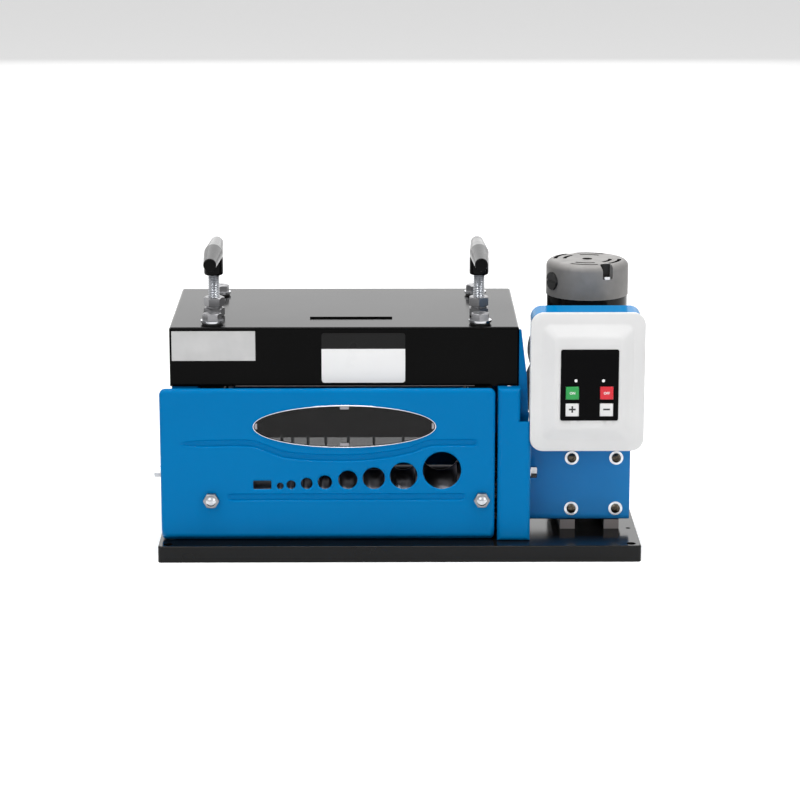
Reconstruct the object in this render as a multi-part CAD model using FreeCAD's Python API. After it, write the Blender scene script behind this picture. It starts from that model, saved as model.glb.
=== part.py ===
import FreeCAD, Part
import math
import os

# Bench wire stripping machine. Millimetres, +X along the shafts to the motor end, +Y from
# the cable openings to the outlet, +Z up. Origin: centre of the base plate's underside.

os.makedirs("parts", exist_ok=True)
V = FreeCAD.Vector
X_DIR = V(1, 0, 0)
Y_DIR = V(0, 1, 0)
Z_DIR = V(0, 0, 1)
upright_corners = ["left front", "left back", "right front", "right back"]
facing_corners = ["left top", "right top", "left bottom", "right bottom"]

# Base plate
base_length = 490.0
base_depth = 240.0
base_height = 17.0
base_corner_r = 4.0
base_edge_r = 1.6
base_hole_r = 4.8
base_hole_inset_x = 10.0
base_hole_inset_y = 8.0
earth_hole_r = 2.5
earth_hole_inset = 8.2
earth_hole_y = 55.6

# Sheet metal and running gaps
sheet = 1.5
seat_gap = 0.3
running_gap = 0.05
slide_gap = 0.1
washer_gap = 0.2
panel_gap = 0.3
shoulder_gap = 0.3
worm_gap = 0.3
shaft_hole_gap = 4.0

# Side frames, each with a window for its sliding bearing block
frame_thickness = 24.0
left_frame_x = -189.5
right_frame_x = 81.7
frame_front = -84.0
frame_back = 98.0

# Tie bars between the frames: the low one as its place along Y and up Z, the high ones as
# places along Y and depths below the frames' top
tie_bar_r = 8.0
low_tie_bar = (84.0, 40.0)
high_tie_bars = [(80.0, 23.1), (-68.0, 29.1)]

# Left and rear panels, with the cable outlet in the rear one
panel_drop = 22.6
panel_foot = 14.0
panel_flange = 26.0
outlet_left = -156.0
outlet_right = 68.0
outlet_bottom = 60.0
outlet_top = 122.0
outlet_corner_r = 4.0

# Hood
hood_left = -231.9
hood_right = 120.4
hood_front = -88.0
hood_back = 115.0
hood_top = 236.6
hood_skirt = 60.4
hood_bend_r = 2.4
hood_bolt_front_y = -68.5
hood_bolt_back_y = 80.0

# Guard with its cable openings and oval window
guard_left = -242.3
guard_right = 96.4
guard_front = -102.0
guard_height = 159.0
guard_bend_r = 4.0
guard_corner_r = 6.5
guard_side_depth = 40.0
guard_bottom_lip = 12.0
guard_top_lip = 5.0
guard_side_drop = 10.0
guard_nut_z = 61.0
guard_nut_shift = 1.6
guard_spacer_r = 7.5
stud_r = 5.0
stud_depth = 14.0
stud_proud = 7.0
stud_dome_r = 7.0
guard_nut_flats = 14.2
guard_nut_height = 6.0
side_screw_y = -80.0
guard_screw_z = 85.6
cover_screw_z = 84.0
side_screw_r = 3.0
side_screw_flats = 11.0
side_screw_head_height = 6.5
side_screw_flange_r = 6.8
side_screw_flange = 1.2
side_screw_end = 2.0
side_spacer_r = 5.0
opening_floor_z = 72.0
slot_x = -139.2
slot_width = 18.4
slot_height = 9.2
hole_list = [(-121.1, 7.0), (-110.0, 9.4), (-94.2, 12.0), (-75.8, 14.6),
             (-52.5, 19.6), (-26.2, 22.8), (4.0, 28.0), (42.8, 39.0)]
window_x = -55.7
window_drop = 38.5
window_length = 184.0
window_height = 43.0
window_rim_width = 0.9
window_rim_proud = 0.8
clip_length = 9.0
clip_width = 6.0
clip_thickness = 0.8
pane_thickness = 2.0
pane_overlap = 6.0

# Feed shaft and rollers
shaft_y = -28.0
feed_shaft_z = 50.0
feed_shaft_r = 14.0
journal_r = 12.5
bush_wall = 4.5
shaft_end = 3.0
roller_floor_r = opening_floor_z - feed_shaft_z
roller_depths = [2.0, 2.0, 2.4, 3.0, 3.8, 5.0, 6.0, 7.4, 9.0]
roller_gap = 0.4
roller_end = 3.0
groove_clearance = 0.5

# Blade shaft, blades and sliding blocks
blade_shaft_z = 128.0
blade_r = 31.0
blade_thickness = 3.0
blade_bevel = 5.0
spacer_r = 20.0
blade_shaft_end = 4.5
blade_ring_r = 15.0
blade_ring_width = 1.5
block_height = 50.0
block_width = 51.8
block_lip = 4.0
block_lip_overlap = 4.0
travel_down = 22.75
travel_up = 11.375
window_margin = 2.0

# T-handled screws
screw_r = 5.9
collar_r = 9.0
collar_height = 5.0
collar_roof = 5.0
grip_bottom_stand = 42.7
grip_bar_stand = 64.4
grip_bar_length = 130.0
grip_tip_r = 6.6
grip_tip_round = 1.2
grip_hub_r = 9.8
lock_nut_height = 9.4
seat_nut_height = 8.8
nut_flats = 19.0
nut_face_share = 0.95
nut_chamfer_slope = math.tan(math.radians(30))
nut_turns = [(12.0, 3.0), (29.0, 30.0)]
spring_washer_r = 8.0
spring_washer_height = 1.6

# Hood bolts
bolt_flats = 17.0
bolt_head_height = 7.0
bolt_r = 5.0
bolt_depth = 22.0
bolt_turns = [8.0, 20.0, 24.0, 5.0]
bolt_dimple_r = 10.0
bolt_dimple_depth = 0.8
washer_r = 11.5
washer_height = 2.0
seal_washer_height = 2.0
seal_washer_r = 10.2

# Gear train: roller gear on the feed shaft, drive gear on the gearbox output
gear_module = 2.5
roller_gear_teeth = 22
drive_gear_teeth = 28
gear_width = 14.0
gear_backlash = 0.5
gear_dedendum = 1.25 * gear_module
gear_offset = 4.0
gear_hub_wall = 4.0
pressure_angle = math.radians(20)
drive_y = 34.0
output_shaft_r = 10.0
output_journal_r = 8.0
output_stub_inset = 1.0
output_tail = 19.0

# Gear cover and side plate
cover_left = 99.2
cover_right = 132.6
cover_step_x = 121.7
cover_step_z = 142.0
cover_side_depth = 41.5
side_plate_x = 120.7
side_plate_thickness = 2.0
side_plate_drop = 2.6
side_plate_slope_drop = 37.4
side_plate_back = 108.0
side_plate_corner_r = 6.0
gusset_knee = (43.0, 6.0)
gusset_overlap = 12.0
gusset_reach = 8.0

# Motor bracket, gearbox and motor
bracket_left = 134.8
bracket_right = 237.2
bracket_front = -60.0
bracket_bottom = 27.0
bracket_top = 205.0
bracket_sheet = 2.5
bracket_bend_r = 6.0
bracket_side_depth = 15.0
bracket_lip = 10.0
bracket_screw_x = [177.1, 222.8]
bracket_screw_z = [39.8, 93.6]
bracket_screw_r = 2.5
bracket_screw_length = 14.0
bracket_washer_r = 7.2
bracket_washer_height = 1.2
bracket_head_r = 4.7
bracket_head_height = 3.0
bracket_dome_r = 8.0
socket_flats = 3.5
socket_depth = 2.0
motor_x = 194.9
motor_y = 6.0
motor_r = 41.6
motor_wall = 3.0
motor_bottom = 118.0
cap_bottom = 253.0
cap_top = 289.0
cap_r = 42.3
cap_edge_r = 7.0
cap_wall = 3.0
cap_hole_r = 5.3
vent_radii = [23.5, 33.0]
vent_width = 4.0
vent_span = 50.0
vent_offset = 36.0
notch_angle = 296.0
notch_r = 6.5
notch_wall = 2.0
notch_floor = 274.0
cap_screw_inset = 3.3
cap_screw_head_r = 4.2
cap_screw_head_height = 3.0
cap_screw_slot = 1.0
cap_screw_r = 2.0
cap_screw_length = 10.0
brush_z = 269.5
brush_angle = 208.0
brush_boss_start = 30.0
brush_cap_r = 9.0
brush_cap_depth = 4.0
brush_cap_proud = 1.5
brush_slot_depth = 1.2
brush_slot_width = 1.6
brush_r = 4.0
gearbox_left = 160.0
gearbox_right = 229.8
gearbox_front = -49.0
gearbox_back = 66.0
gearbox_top = 112.0
gearbox_wall = 6.0
gearbox_corner_r = 6.0
pad_r = 6.5
foot_width = 15.5
foot_places = [165.9, 211.3]
foot_back = 88.0
foot_bolt_y = 77.0
foot_bolt_r = 4.0
foot_bolt_depth = 22.0
foot_bolt_flats = 13.0
foot_bolt_head_height = 5.3
cradle_lobes = [(179.3, 183.5, 43.0), (185.4, 143.5, 52.0)]
cradle_right = 239.0
cradle_front = -44.0
cradle_back = 52.0
cradle_top = 226.0
cradle_corner_r = 9.0
cradle_pad_r = 9.0
cradle_pads = [(160.0, 140.0), (222.0, 140.0), (160.0, 192.0), (222.0, 192.0)]
worm_r = 8.0
worm_bottom = 38.0
worm_top = 84.0
wheel_teeth = 28
wheel_width = 16.0
wheel_tooth_height = 3.2
wheel_room = 22.5
rotor_r = 24.0
rotor_core_length = 85.0
rotor_shaft_r = 6.0
rotor_gap = 1.0
rotor_end_r = 4.0
pole_end_gap = 25.0
pole_air_gap = 0.8
pole_half_gap = 12.0
commutator_z = 262.0
commutator_length = 15.0
commutator_r = 13.0

# Name plates, bare. Those on the hood's front run from a depth to a depth below its top.
plate_thickness = 0.6
silver_plate = (-229.4, -145.2, 34.0, 3.6)
white_plate = (-78.6, 5.7, 56.9, 5.8)
plate_corner_r = 3.0
rating_plate = (-91.1, -7.2, -42.6, 31.4)
rating_thickness = 1.6

# Control box
box_left = 131.4
box_right = 246.3
box_bottom = 111.8
box_top = 254.6
box_front = -104.0
box_corner_r = 13.0
cover_thickness = 2.5
cover_slope_inset = 12.5
cover_flat_inset = 24.5
cover_rise = 7.0
slope_corner_r = 8.0
flat_corner_r = 5.0
shell_inset = 1.5
keypad_x = 190.3
keypad_z = 182.0
keypad_width = 58.2
keypad_height = 73.0
keypad_proud = 0.6
keypad_corner_r = 2.0
button_width = 13.2
button_height = 13.0
button_proud = 1.4
button_gap = 0.3
button_tail = 3.0
button_flange = 1.5
button_corner_r = 1.2
button_travel = 0.8
button_dx = 17.2
button_upper_z = 174.0
button_lower_z = 156.7
lens_r = 1.5
lens_dx = 13.8
lens_z = 186.7
lens_proud = 0.4
board_width = 54.0
board_height = 88.0
board_thickness = 1.6
post_r = 3.0
post_inset = 4.0
gland_x = 232.0
gland_z = 238.0
gland_thread_r = 6.0
gland_thread_length = 8.0
gland_flats = 18.0
gland_nut_height = 4.0
gland_length = 15.0
gland_crown_r = 8.5
gland_taper = 3.0
gland_mouth_r = 4.0

# Worked-out places
base_top = base_height
hood_bottom = hood_top - hood_skirt
guard_top = base_top + guard_height
window_z = guard_top - window_drop
frame_top = hood_top - sheet
panel_top = hood_top - panel_drop
side_plate_top = hood_top - side_plate_drop
grip_bottom_z = hood_top + grip_bottom_stand
grip_bar_z = hood_top + grip_bar_stand
tie_bar_places = [low_tie_bar] + [(y, frame_top - drop) for y, drop in high_tie_bars]
block_window_low = blade_shaft_z - block_height / 2 - travel_down - window_margin
block_window_high = blade_shaft_z + block_height / 2 + travel_up + window_margin
collar_z = blade_shaft_z + block_height / 2 - collar_roof - collar_height
gear_distance = gear_module * (roller_gear_teeth + drive_gear_teeth) / 2
drive_z = feed_shaft_z + math.sqrt(gear_distance ** 2 - (drive_y - shaft_y) ** 2)
gear_start = right_frame_x + frame_thickness / 2 + gear_offset
frame_places = [left_frame_x, right_frame_x]
left_panel_x = hood_left + sheet + panel_gap
panel_front = hood_front + sheet + panel_gap
rear_panel_y = hood_back - 2 * sheet - panel_gap
openings = [(slot_x, slot_width)] + hole_list
board_y = box_front - cover_rise + cover_thickness + button_tail + button_travel + seat_gap
button_places = [("on_button", -button_dx, button_upper_z), ("off_button", button_dx, button_upper_z),
                 ("speed_up_button", -button_dx, button_lower_z),
                 ("speed_down_button", button_dx, button_lower_z)]


def box(x0, x1, y0, y1, z0, z1):
    return Part.makeBox(x1 - x0, y1 - y0, z1 - z0, V(x0, y0, z0))


def rod(start, direction, length, radius):
    return Part.makeCylinder(radius, length, start, direction)


def tube(start, direction, length, outer_r, inner_r):
    return rod(start, direction, length, outer_r).cut(rod(start, direction, length, inner_r))


def extrude(points, direction):
    wire = Part.makePolygon(points + [points[0]])
    return Part.Face(wire).extrude(direction)


def side_directions(direction):
    """Two directions square to an axis, for drawing a section across it."""
    if direction.cross(Z_DIR).Length < 0.5:
        return X_DIR, Y_DIR
    return direction.cross(Z_DIR), Z_DIR


def turned(profile, center, direction):
    """Solid of revolution from (distance along the axis, radius) points."""
    across = side_directions(direction)[1]
    points = [center + direction * a + across * r for a, r in profile]
    wire = Part.makePolygon(points + [points[0]])
    return Part.Face(wire).revolve(center, direction, 360)


def hexagon(center, direction, flats, height, turn=0.0, chamfer_both=False):
    """Hexagonal nut or bolt head with its corners turned down at the far end, or at both."""
    across, up = side_directions(direction)
    corner_r = flats / math.sqrt(3)
    points = []
    for i in range(6):
        angle = math.radians(60 * i + turn)
        corner = across * math.cos(angle) + up * math.sin(angle)
        points.append(center + corner * corner_r)
    face_r = nut_face_share * flats / 2
    drop = (corner_r - face_r) * nut_chamfer_slope
    far_end = [(height - drop, corner_r), (height, face_r), (height, 0)]
    near_end = [(0, 0), (0, face_r), (drop, corner_r)] if chamfer_both else [(0, 0), (0, corner_r)]
    return extrude(points, direction * height).common(turned(near_end + far_end, center, direction))


def is_along(edge, direction):
    if edge.Curve.TypeId != "Part::GeomLine":
        return False
    return abs(edge.tangentAt(edge.FirstParameter).dot(direction)) > 0.999


def rounded_box(x0, x1, y0, y1, z0, z1, radius, sides):
    """Box with its edges rounded along the outer corners of the named sides, such as 'front top'."""
    body = box(x0, x1, y0, y1, z0, z1)
    limits = {"left": (0, x0), "right": (0, x1), "front": (1, y0), "back": (1, y1),
              "bottom": (2, z0), "top": (2, z1)}
    edges = []
    for edge in body.Edges:
        middle = edge.CenterOfMass
        for pair in sides:
            places = [limits[side] for side in pair.split()]
            if all(abs(middle[axis] - value) < 0.001 for axis, value in places):
                edges.append(edge)
    return body.makeFillet(radius, edges)


def edges_at_height(shape, z):
    return [e for e in shape.Edges if abs(e.BoundBox.ZMin - z) < 0.001]


def save(name, *solids):
    shape = solids[0] if len(solids) == 1 else Part.makeCompound(list(solids))
    shape.exportStep("parts/" + name + ".step")


def make_base():
    plate = rounded_box(-base_length / 2, base_length / 2, -base_depth / 2, base_depth / 2, 0, base_height,
                        base_corner_r, upright_corners)
    plate = plate.makeFillet(base_edge_r, edges_at_height(plate, base_height))
    hole_x = base_length / 2 - base_hole_inset_x
    hole_y = base_depth / 2 - base_hole_inset_y
    holes = [(x, y, base_hole_r) for x in (-hole_x, hole_x) for y in (-hole_y, hole_y)]
    holes += [(base_length / 2 - earth_hole_inset, y, earth_hole_r) for y in (-earth_hole_y, earth_hole_y)]
    for x, y, radius in holes:
        plate = plate.cut(rod(V(x, y, -1), Z_DIR, base_height + 2, radius))
    for x in foot_places:
        start = V(x + foot_width / 2, foot_bolt_y, bracket_bottom - foot_bolt_depth)
        plate = plate.cut(rod(start, Z_DIR, base_height, foot_bolt_r + running_gap))
    save("base_plate", plate)


def guard_nut_x(frame_x):
    return frame_x - guard_nut_shift if frame_x == left_frame_x else frame_x + guard_nut_shift


def make_frame(name, x):
    x0 = x - frame_thickness / 2
    x1 = x + frame_thickness / 2
    body = box(x0, x1, frame_front, frame_back, base_top, frame_top)
    half_window = block_width / 2 + slide_gap
    body = body.cut(box(x0 - 1, x1 + 1, shaft_y - half_window, shaft_y + half_window,
                        block_window_low, block_window_high))
    body = body.cut(rod(V(x0 - 1, shaft_y, feed_shaft_z), X_DIR, frame_thickness + 2, journal_r + bush_wall))
    body = body.cut(rod(V(x, shaft_y, block_window_high - 1), Z_DIR, frame_top, screw_r + slide_gap))
    for y in (hood_bolt_front_y, hood_bolt_back_y):
        body = body.cut(rod(V(x, y, frame_top - bolt_depth), Z_DIR, bolt_depth + 1, bolt_r + running_gap))
    stud_x = guard_nut_x(x)
    spacer_length = frame_front - guard_front - sheet
    body = body.fuse(rod(V(stud_x, frame_front, guard_nut_z), -Y_DIR, spacer_length, guard_spacer_r))
    stud_start = V(stud_x, frame_front + stud_depth, guard_nut_z)
    body = body.cut(rod(stud_start, -Y_DIR, stud_depth + spacer_length + 1, stud_r + running_gap))
    if x == right_frame_x:
        bore_r = output_journal_r + bush_wall
        body = body.cut(rod(V(x0 - 1, drive_y, drive_z), X_DIR, frame_thickness + 2, bore_r))
    save(name, body)


def make_bushes():
    places = [(x, shaft_y, feed_shaft_z, journal_r) for x in (left_frame_x, right_frame_x)]
    places.append((right_frame_x, drive_y, drive_z, output_journal_r))
    bushes = []
    for x, y, z, shaft_r in places:
        start = V(x - frame_thickness / 2, y, z)
        bushes.append(tube(start, X_DIR, frame_thickness, shaft_r + bush_wall, shaft_r + running_gap))
    save("shaft_bushes", *bushes)


def make_tie_bars():
    start_x = left_frame_x + frame_thickness / 2
    length = right_frame_x - left_frame_x - frame_thickness
    save("tie_bars", *[rod(V(start_x, y, z), X_DIR, length, tie_bar_r) for y, z in tie_bar_places])


def make_hood():
    bends = upright_corners + ["front top", "back top", "left top", "right top"]
    hood = rounded_box(hood_left, hood_right, hood_front, hood_back, hood_bottom, hood_top, hood_bend_r,
                       bends)
    inside = rounded_box(hood_left + sheet, hood_right - sheet, hood_front + sheet, hood_back - sheet,
                         hood_bottom - 1, hood_top - sheet, hood_bend_r - sheet, bends)
    hood = hood.cut(inside)
    for x in frame_places:
        for y in (hood_bolt_front_y, hood_bolt_back_y):
            hood = hood.cut(rod(V(x, y, frame_top - 1), Z_DIR, sheet + 2, bolt_r + seat_gap))
        hood = hood.cut(rod(V(x, shaft_y, frame_top - 1), Z_DIR, sheet + 2, screw_r + seat_gap))
    save("hood", hood)


def make_hood_fasteners():
    seals = []
    washers = []
    bolts = []
    places = [(x, y) for x in frame_places for y in (hood_bolt_front_y, hood_bolt_back_y)]
    for (x, y), turn in zip(places, bolt_turns):
        washer_z = hood_top + seal_washer_height
        head_z = washer_z + washer_height
        seals.append(tube(V(x, y, hood_top), Z_DIR, seal_washer_height, seal_washer_r, bolt_r + washer_gap))
        washers.append(tube(V(x, y, washer_z), Z_DIR, washer_height, washer_r, bolt_r + washer_gap))
        head = hexagon(V(x, y, head_z), Z_DIR, bolt_flats, bolt_head_height, turn)
        dimple_z = head_z + bolt_head_height + bolt_dimple_r - bolt_dimple_depth
        head = head.cut(Part.makeSphere(bolt_dimple_r, V(x, y, dimple_z)))
        shank_z = frame_top - bolt_depth + seat_gap
        bolts.append(head.fuse(rod(V(x, y, shank_z), Z_DIR, head_z - shank_z, bolt_r)))
    save("hood_seal_washers", *seals)
    save("hood_washers", *washers)
    save("hood_bolts", *bolts)


def make_screw_nuts():
    """Seat nut, spring washer and lock nut of each T-screw."""
    nuts = []
    washer_z = hood_top + seat_nut_height
    lock_z = washer_z + spring_washer_height
    for x, (seat_turn, lock_turn) in zip(frame_places, nut_turns):
        for z, height, turn in ((hood_top, seat_nut_height, seat_turn), (lock_z, lock_nut_height, lock_turn)):
            nut = hexagon(V(x, shaft_y, z), Z_DIR, nut_flats, height, turn, chamfer_both=True)
            nuts.append(nut.cut(rod(V(x, shaft_y, z - 1), Z_DIR, height + 2, screw_r + running_gap)))
        washer_seat = V(x, shaft_y, washer_z)
        nuts.append(tube(washer_seat, Z_DIR, spring_washer_height, spring_washer_r, screw_r + washer_gap))
    save("screw_nuts", *nuts)


def make_panels():
    back = rear_panel_y + sheet
    side_back = rear_panel_y - panel_gap
    side = box(left_panel_x, left_panel_x + sheet, panel_front, side_back, base_top, panel_top)
    foot = box(left_panel_x, left_panel_x + panel_foot, panel_front, side_back, base_top, base_top + sheet)
    hole = rod(V(left_panel_x - 1, side_screw_y, guard_screw_z), X_DIR, sheet + 2, side_screw_r + seat_gap)
    flange_back = panel_front + sheet
    flange = box(left_panel_x, left_panel_x + panel_flange, panel_front, flange_back, base_top, panel_top)
    save("left_side_panel", side.fuse([foot, flange]).cut(hole).removeSplitter())
    right = hood_right - sheet - panel_gap
    rear = box(left_panel_x, right, rear_panel_y, back, base_top, panel_top)
    foot_left = left_panel_x + panel_foot + panel_gap
    foot = box(foot_left, right, back - panel_foot, back, base_top, base_top + sheet)
    outlet = rounded_box(outlet_left, outlet_right, rear_panel_y - 1, back + 1, outlet_bottom, outlet_top,
                         outlet_corner_r, facing_corners)
    save("rear_panel", rear.fuse(foot).cut(outlet))


def guard_pan(inset, back):
    """The guard's folded tray, or its inside when inset by the sheet's thickness."""
    top = guard_top - inset
    pan = box(guard_left + inset, guard_right - inset, guard_front + inset, back, base_top + inset, top)
    corners = [e for e in pan.Edges if is_along(e, Y_DIR) and e.CenterOfMass.z > top - 0.001]
    pan = pan.makeFillet(guard_corner_r - inset, corners)
    rim = [e for e in pan.Edges if abs(e.BoundBox.YMax - guard_front - inset) < 0.001]
    return pan.makeFillet(guard_bend_r - inset, rim)


def make_guard():
    back = guard_front + guard_side_depth
    through = sheet + 2
    front = guard_front - 1
    cuts = [guard_pan(sheet, back + 1)]
    cuts.append(box(guard_left + sheet, guard_right + 1, hood_front - seat_gap, back + 1,
                    base_top + sheet, guard_top + 1))
    cuts.append(box(guard_left + sheet, guard_right + 1, guard_front + guard_bottom_lip, back + 1,
                    base_top - 1, base_top + sheet + 1))
    cuts.append(box(guard_left - 1, guard_right + 1, guard_front + guard_top_lip, back + 1,
                    guard_top - guard_side_drop, guard_top + 1))
    for x, diameter in hole_list:
        cuts.append(rod(V(x, front, opening_floor_z + diameter / 2), Y_DIR, through, diameter / 2))
    cuts.append(box(slot_x - slot_width / 2, slot_x + slot_width / 2, front, front + through,
                    opening_floor_z, opening_floor_z + slot_height))
    cuts.append(oval(window_length, window_height, front, through))
    for x in frame_places:
        cuts.append(rod(V(guard_nut_x(x), front, guard_nut_z), Y_DIR, through, stud_r + seat_gap))
    cuts.append(rod(V(guard_left - 1, side_screw_y, guard_screw_z), X_DIR, through, side_screw_r + seat_gap))
    guard = guard_pan(0, back)
    for cut in cuts:
        guard = guard.cut(cut)
    save("guard", guard)


def oval(length, height, y, depth):
    """Oval block through the guard's front, with its long axis level."""
    curve = Part.Ellipse(V(0, 0, 0), length / 2, height / 2).toShape()
    face = Part.Face(Part.Wire(curve))
    face.rotate(V(0, 0, 0), X_DIR, 90)
    face.translate(V(window_x, y, window_z))
    return face.extrude(Y_DIR * depth)


def window_oval(margin, y, depth):
    return oval(window_length + 2 * margin, window_height + 2 * margin, y, depth)


def make_window():
    pane_y = guard_front + sheet
    save("window_pane", window_oval(pane_overlap, pane_y, pane_thickness))
    rim_y = guard_front - window_rim_proud
    flange = window_oval(window_rim_width, rim_y, window_rim_proud)
    lining = window_oval(-seat_gap, rim_y, window_rim_proud + sheet)
    save("window_rim", flange.fuse(lining).cut(window_oval(-window_rim_width, rim_y - 1, sheet + 3)))
    half_length = window_length / 2 - window_rim_width
    half_height = window_height / 2 - window_rim_width
    places = [(x, 0) for x in (-half_length, half_length)] + [(0, z) for z in (-half_height, half_height)]
    clip_room = window_oval(-window_rim_width - seat_gap, guard_front, sheet)
    clips = []
    for x, z in places:
        half_width = clip_width / 2 if x else clip_length / 2
        clip = box(window_x + x - half_width, window_x + x + half_width, pane_y - clip_thickness, pane_y,
                   window_z + z - clip_width / 2, window_z + z + clip_width / 2)
        clips.append(clip.common(clip_room))
    save("window_clips", *clips)


def make_guard_fasteners():
    studs = []
    nuts = []
    for x in frame_places:
        start = V(guard_nut_x(x), frame_front + stud_depth - seat_gap, guard_nut_z)
        end_y = guard_front - stud_proud
        stud = rod(start, -Y_DIR, start.y - end_y, stud_r)
        dome_y = end_y + math.sqrt(stud_dome_r ** 2 - stud_r ** 2)
        dome = Part.makeSphere(stud_dome_r, V(start.x, dome_y, guard_nut_z))
        dome = dome.common(rod(V(start.x, end_y, guard_nut_z), -Y_DIR, stud_dome_r, stud_r))
        studs.append(stud.fuse(dome))
        seat = V(start.x, guard_front, guard_nut_z)
        nut = hexagon(seat, -Y_DIR, guard_nut_flats, guard_nut_height)
        nuts.append(nut.cut(rod(seat, -Y_DIR, guard_nut_height + 1, stud_r + running_gap)))
    save("guard_studs", *studs)
    save("guard_nuts", *nuts)


def make_side_screws():
    """Screws in the guard's left wall and the gear cover's right wall, each with a spacer to its panel."""
    screws = []
    sides = ((guard_left, -X_DIR, guard_screw_z, left_panel_x, sheet),
             (cover_right, X_DIR, cover_screw_z, side_plate_x + side_plate_thickness, side_plate_thickness))
    for x, outward, z, panel_face, panel_thickness in sides:
        seat = V(x, side_screw_y, z)
        head = hexagon(seat + outward * side_screw_flange, outward, side_screw_flats, side_screw_head_height)
        head = head.fuse(rod(seat, outward, side_screw_flange, side_screw_flange_r))
        reach = abs(x - panel_face)
        screws.append(head.fuse(rod(seat, -outward, reach + panel_thickness + side_screw_end, side_screw_r)))
        spacer_start = seat - outward * sheet
        screws.append(tube(spacer_start, -outward, reach - sheet, side_spacer_r, side_screw_r + washer_gap))
    save("side_screws", *screws)


def gear_cover_pan(inset, back, upper_back, step_z):
    """The gear cover's stepped tray, or its inside when inset by the sheet's thickness."""
    bend_r = guard_bend_r - inset
    sides = ["front left", "front right", "front bottom"]
    left = cover_left + inset
    front = guard_front + inset
    bottom = base_top + inset
    low = rounded_box(left, cover_right - inset, front, back, bottom, step_z, bend_r, sides)
    high = rounded_box(left, cover_step_x - inset, front, upper_back, bottom, guard_top - inset, bend_r,
                       sides + ["front top"])
    return low.fuse(high)


def make_gear_cover():
    back = guard_front + cover_side_depth
    upper_back = hood_front - seat_gap
    cover = gear_cover_pan(0, back, upper_back, cover_step_z)
    cover = cover.cut(gear_cover_pan(sheet, back + 1, upper_back + 1, cover_step_z + 1))
    cover = cover.cut(box(cover_left - 1, cover_right - sheet, upper_back, back + 1,
                          base_top + sheet, guard_top + 1))
    cover = cover.cut(box(cover_left - 1, cover_right - sheet, guard_front + guard_bottom_lip, back + 1,
                          base_top - 1, base_top + sheet + 1))
    hole_start = V(cover_right - sheet - 1, side_screw_y, cover_screw_z)
    hole = rod(hole_start, X_DIR, sheet + 2, side_screw_r + seat_gap)
    save("gear_cover", cover.cut(hole).removeSplitter())


def make_side_plate():
    inner_x = side_plate_x + side_plate_thickness
    back_top = side_plate_top - side_plate_slope_drop
    plate = extrude([V(side_plate_x, panel_front, base_top), V(side_plate_x, side_plate_back, base_top),
                     V(side_plate_x, side_plate_back, back_top),
                     V(side_plate_x, panel_front, side_plate_top)], X_DIR * side_plate_thickness)
    back_corner = [e for e in plate.Edges if is_along(e, X_DIR) and abs(e.CenterOfMass.z - back_top) < seat_gap]
    plate = plate.makeFillet(side_plate_corner_r, back_corner)
    reach_x = inner_x + gusset_reach
    gusset_foot_z = cover_step_z - gusset_overlap
    knee_rise, knee_reach = gusset_knee
    gusset = extrude([V(inner_x, panel_front, gusset_foot_z), V(reach_x, panel_front, gusset_foot_z),
                      V(reach_x, panel_front, cover_step_z),
                      V(inner_x + knee_reach, panel_front, cover_step_z + knee_rise),
                      V(inner_x, panel_front, side_plate_top)], Y_DIR * side_plate_thickness)
    foot = box(side_plate_x, reach_x, panel_front, side_plate_back, base_top, base_top + side_plate_thickness)
    plate = plate.fuse([gusset, foot])
    hole_r = output_shaft_r + shaft_hole_gap
    plate = plate.cut(rod(V(side_plate_x - 1, drive_y, drive_z), X_DIR, side_plate_thickness + 2, hole_r))
    plate = plate.cut(rod(V(side_plate_x - 1, side_screw_y, cover_screw_z), X_DIR, side_plate_thickness + 2,
                          side_screw_r + seat_gap))
    save("gear_side_plate", plate.removeSplitter())


def gear_outline(teeth, tip_r, root_r, pitch_r, half_tooth, flank_points=5):
    """Involute tooth outline, as (radius, angle) pairs from one root to the next."""
    base_r = pitch_r * math.cos(pressure_angle)
    start_r = max(base_r, root_r)

    def involute(radius):
        slope = math.sqrt(max((radius / base_r) ** 2 - 1, 0))
        return slope - math.atan(slope)

    half_angle = half_tooth / pitch_r + involute(pitch_r)
    radii = [start_r + (tip_r - start_r) * i / flank_points for i in range(flank_points + 1)]
    flank = [(r, half_angle - involute(r)) for r in radii]
    rising = [(root_r, -flank[0][1])] + [(r, -a) for r, a in flank]
    falling = [(r, a) for r, a in reversed(flank)] + [(root_r, flank[0][1])]
    outline = []
    for tooth in range(teeth):
        turn = 2 * math.pi * tooth / teeth
        outline += [(r, a + turn) for r, a in rising + falling]
    return outline


def make_gear(name, teeth, center, bore_r, phase):
    pitch_r = gear_module * teeth / 2
    half_tooth = math.pi * gear_module / 4 - gear_backlash / 4
    outline = gear_outline(teeth, pitch_r + gear_module, pitch_r - gear_dedendum, pitch_r, half_tooth)
    points = [center + V(0, r * math.cos(a + phase), r * math.sin(a + phase)) for r, a in outline]
    hub_length = gear_offset - seat_gap
    gear = extrude(points, X_DIR * gear_width).fuse(rod(center, -X_DIR, hub_length, bore_r + gear_hub_wall))
    bore = rod(center - X_DIR * gear_offset, X_DIR, gear_width + 2 * gear_offset, bore_r + running_gap)
    save(name, gear.cut(bore))


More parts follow.
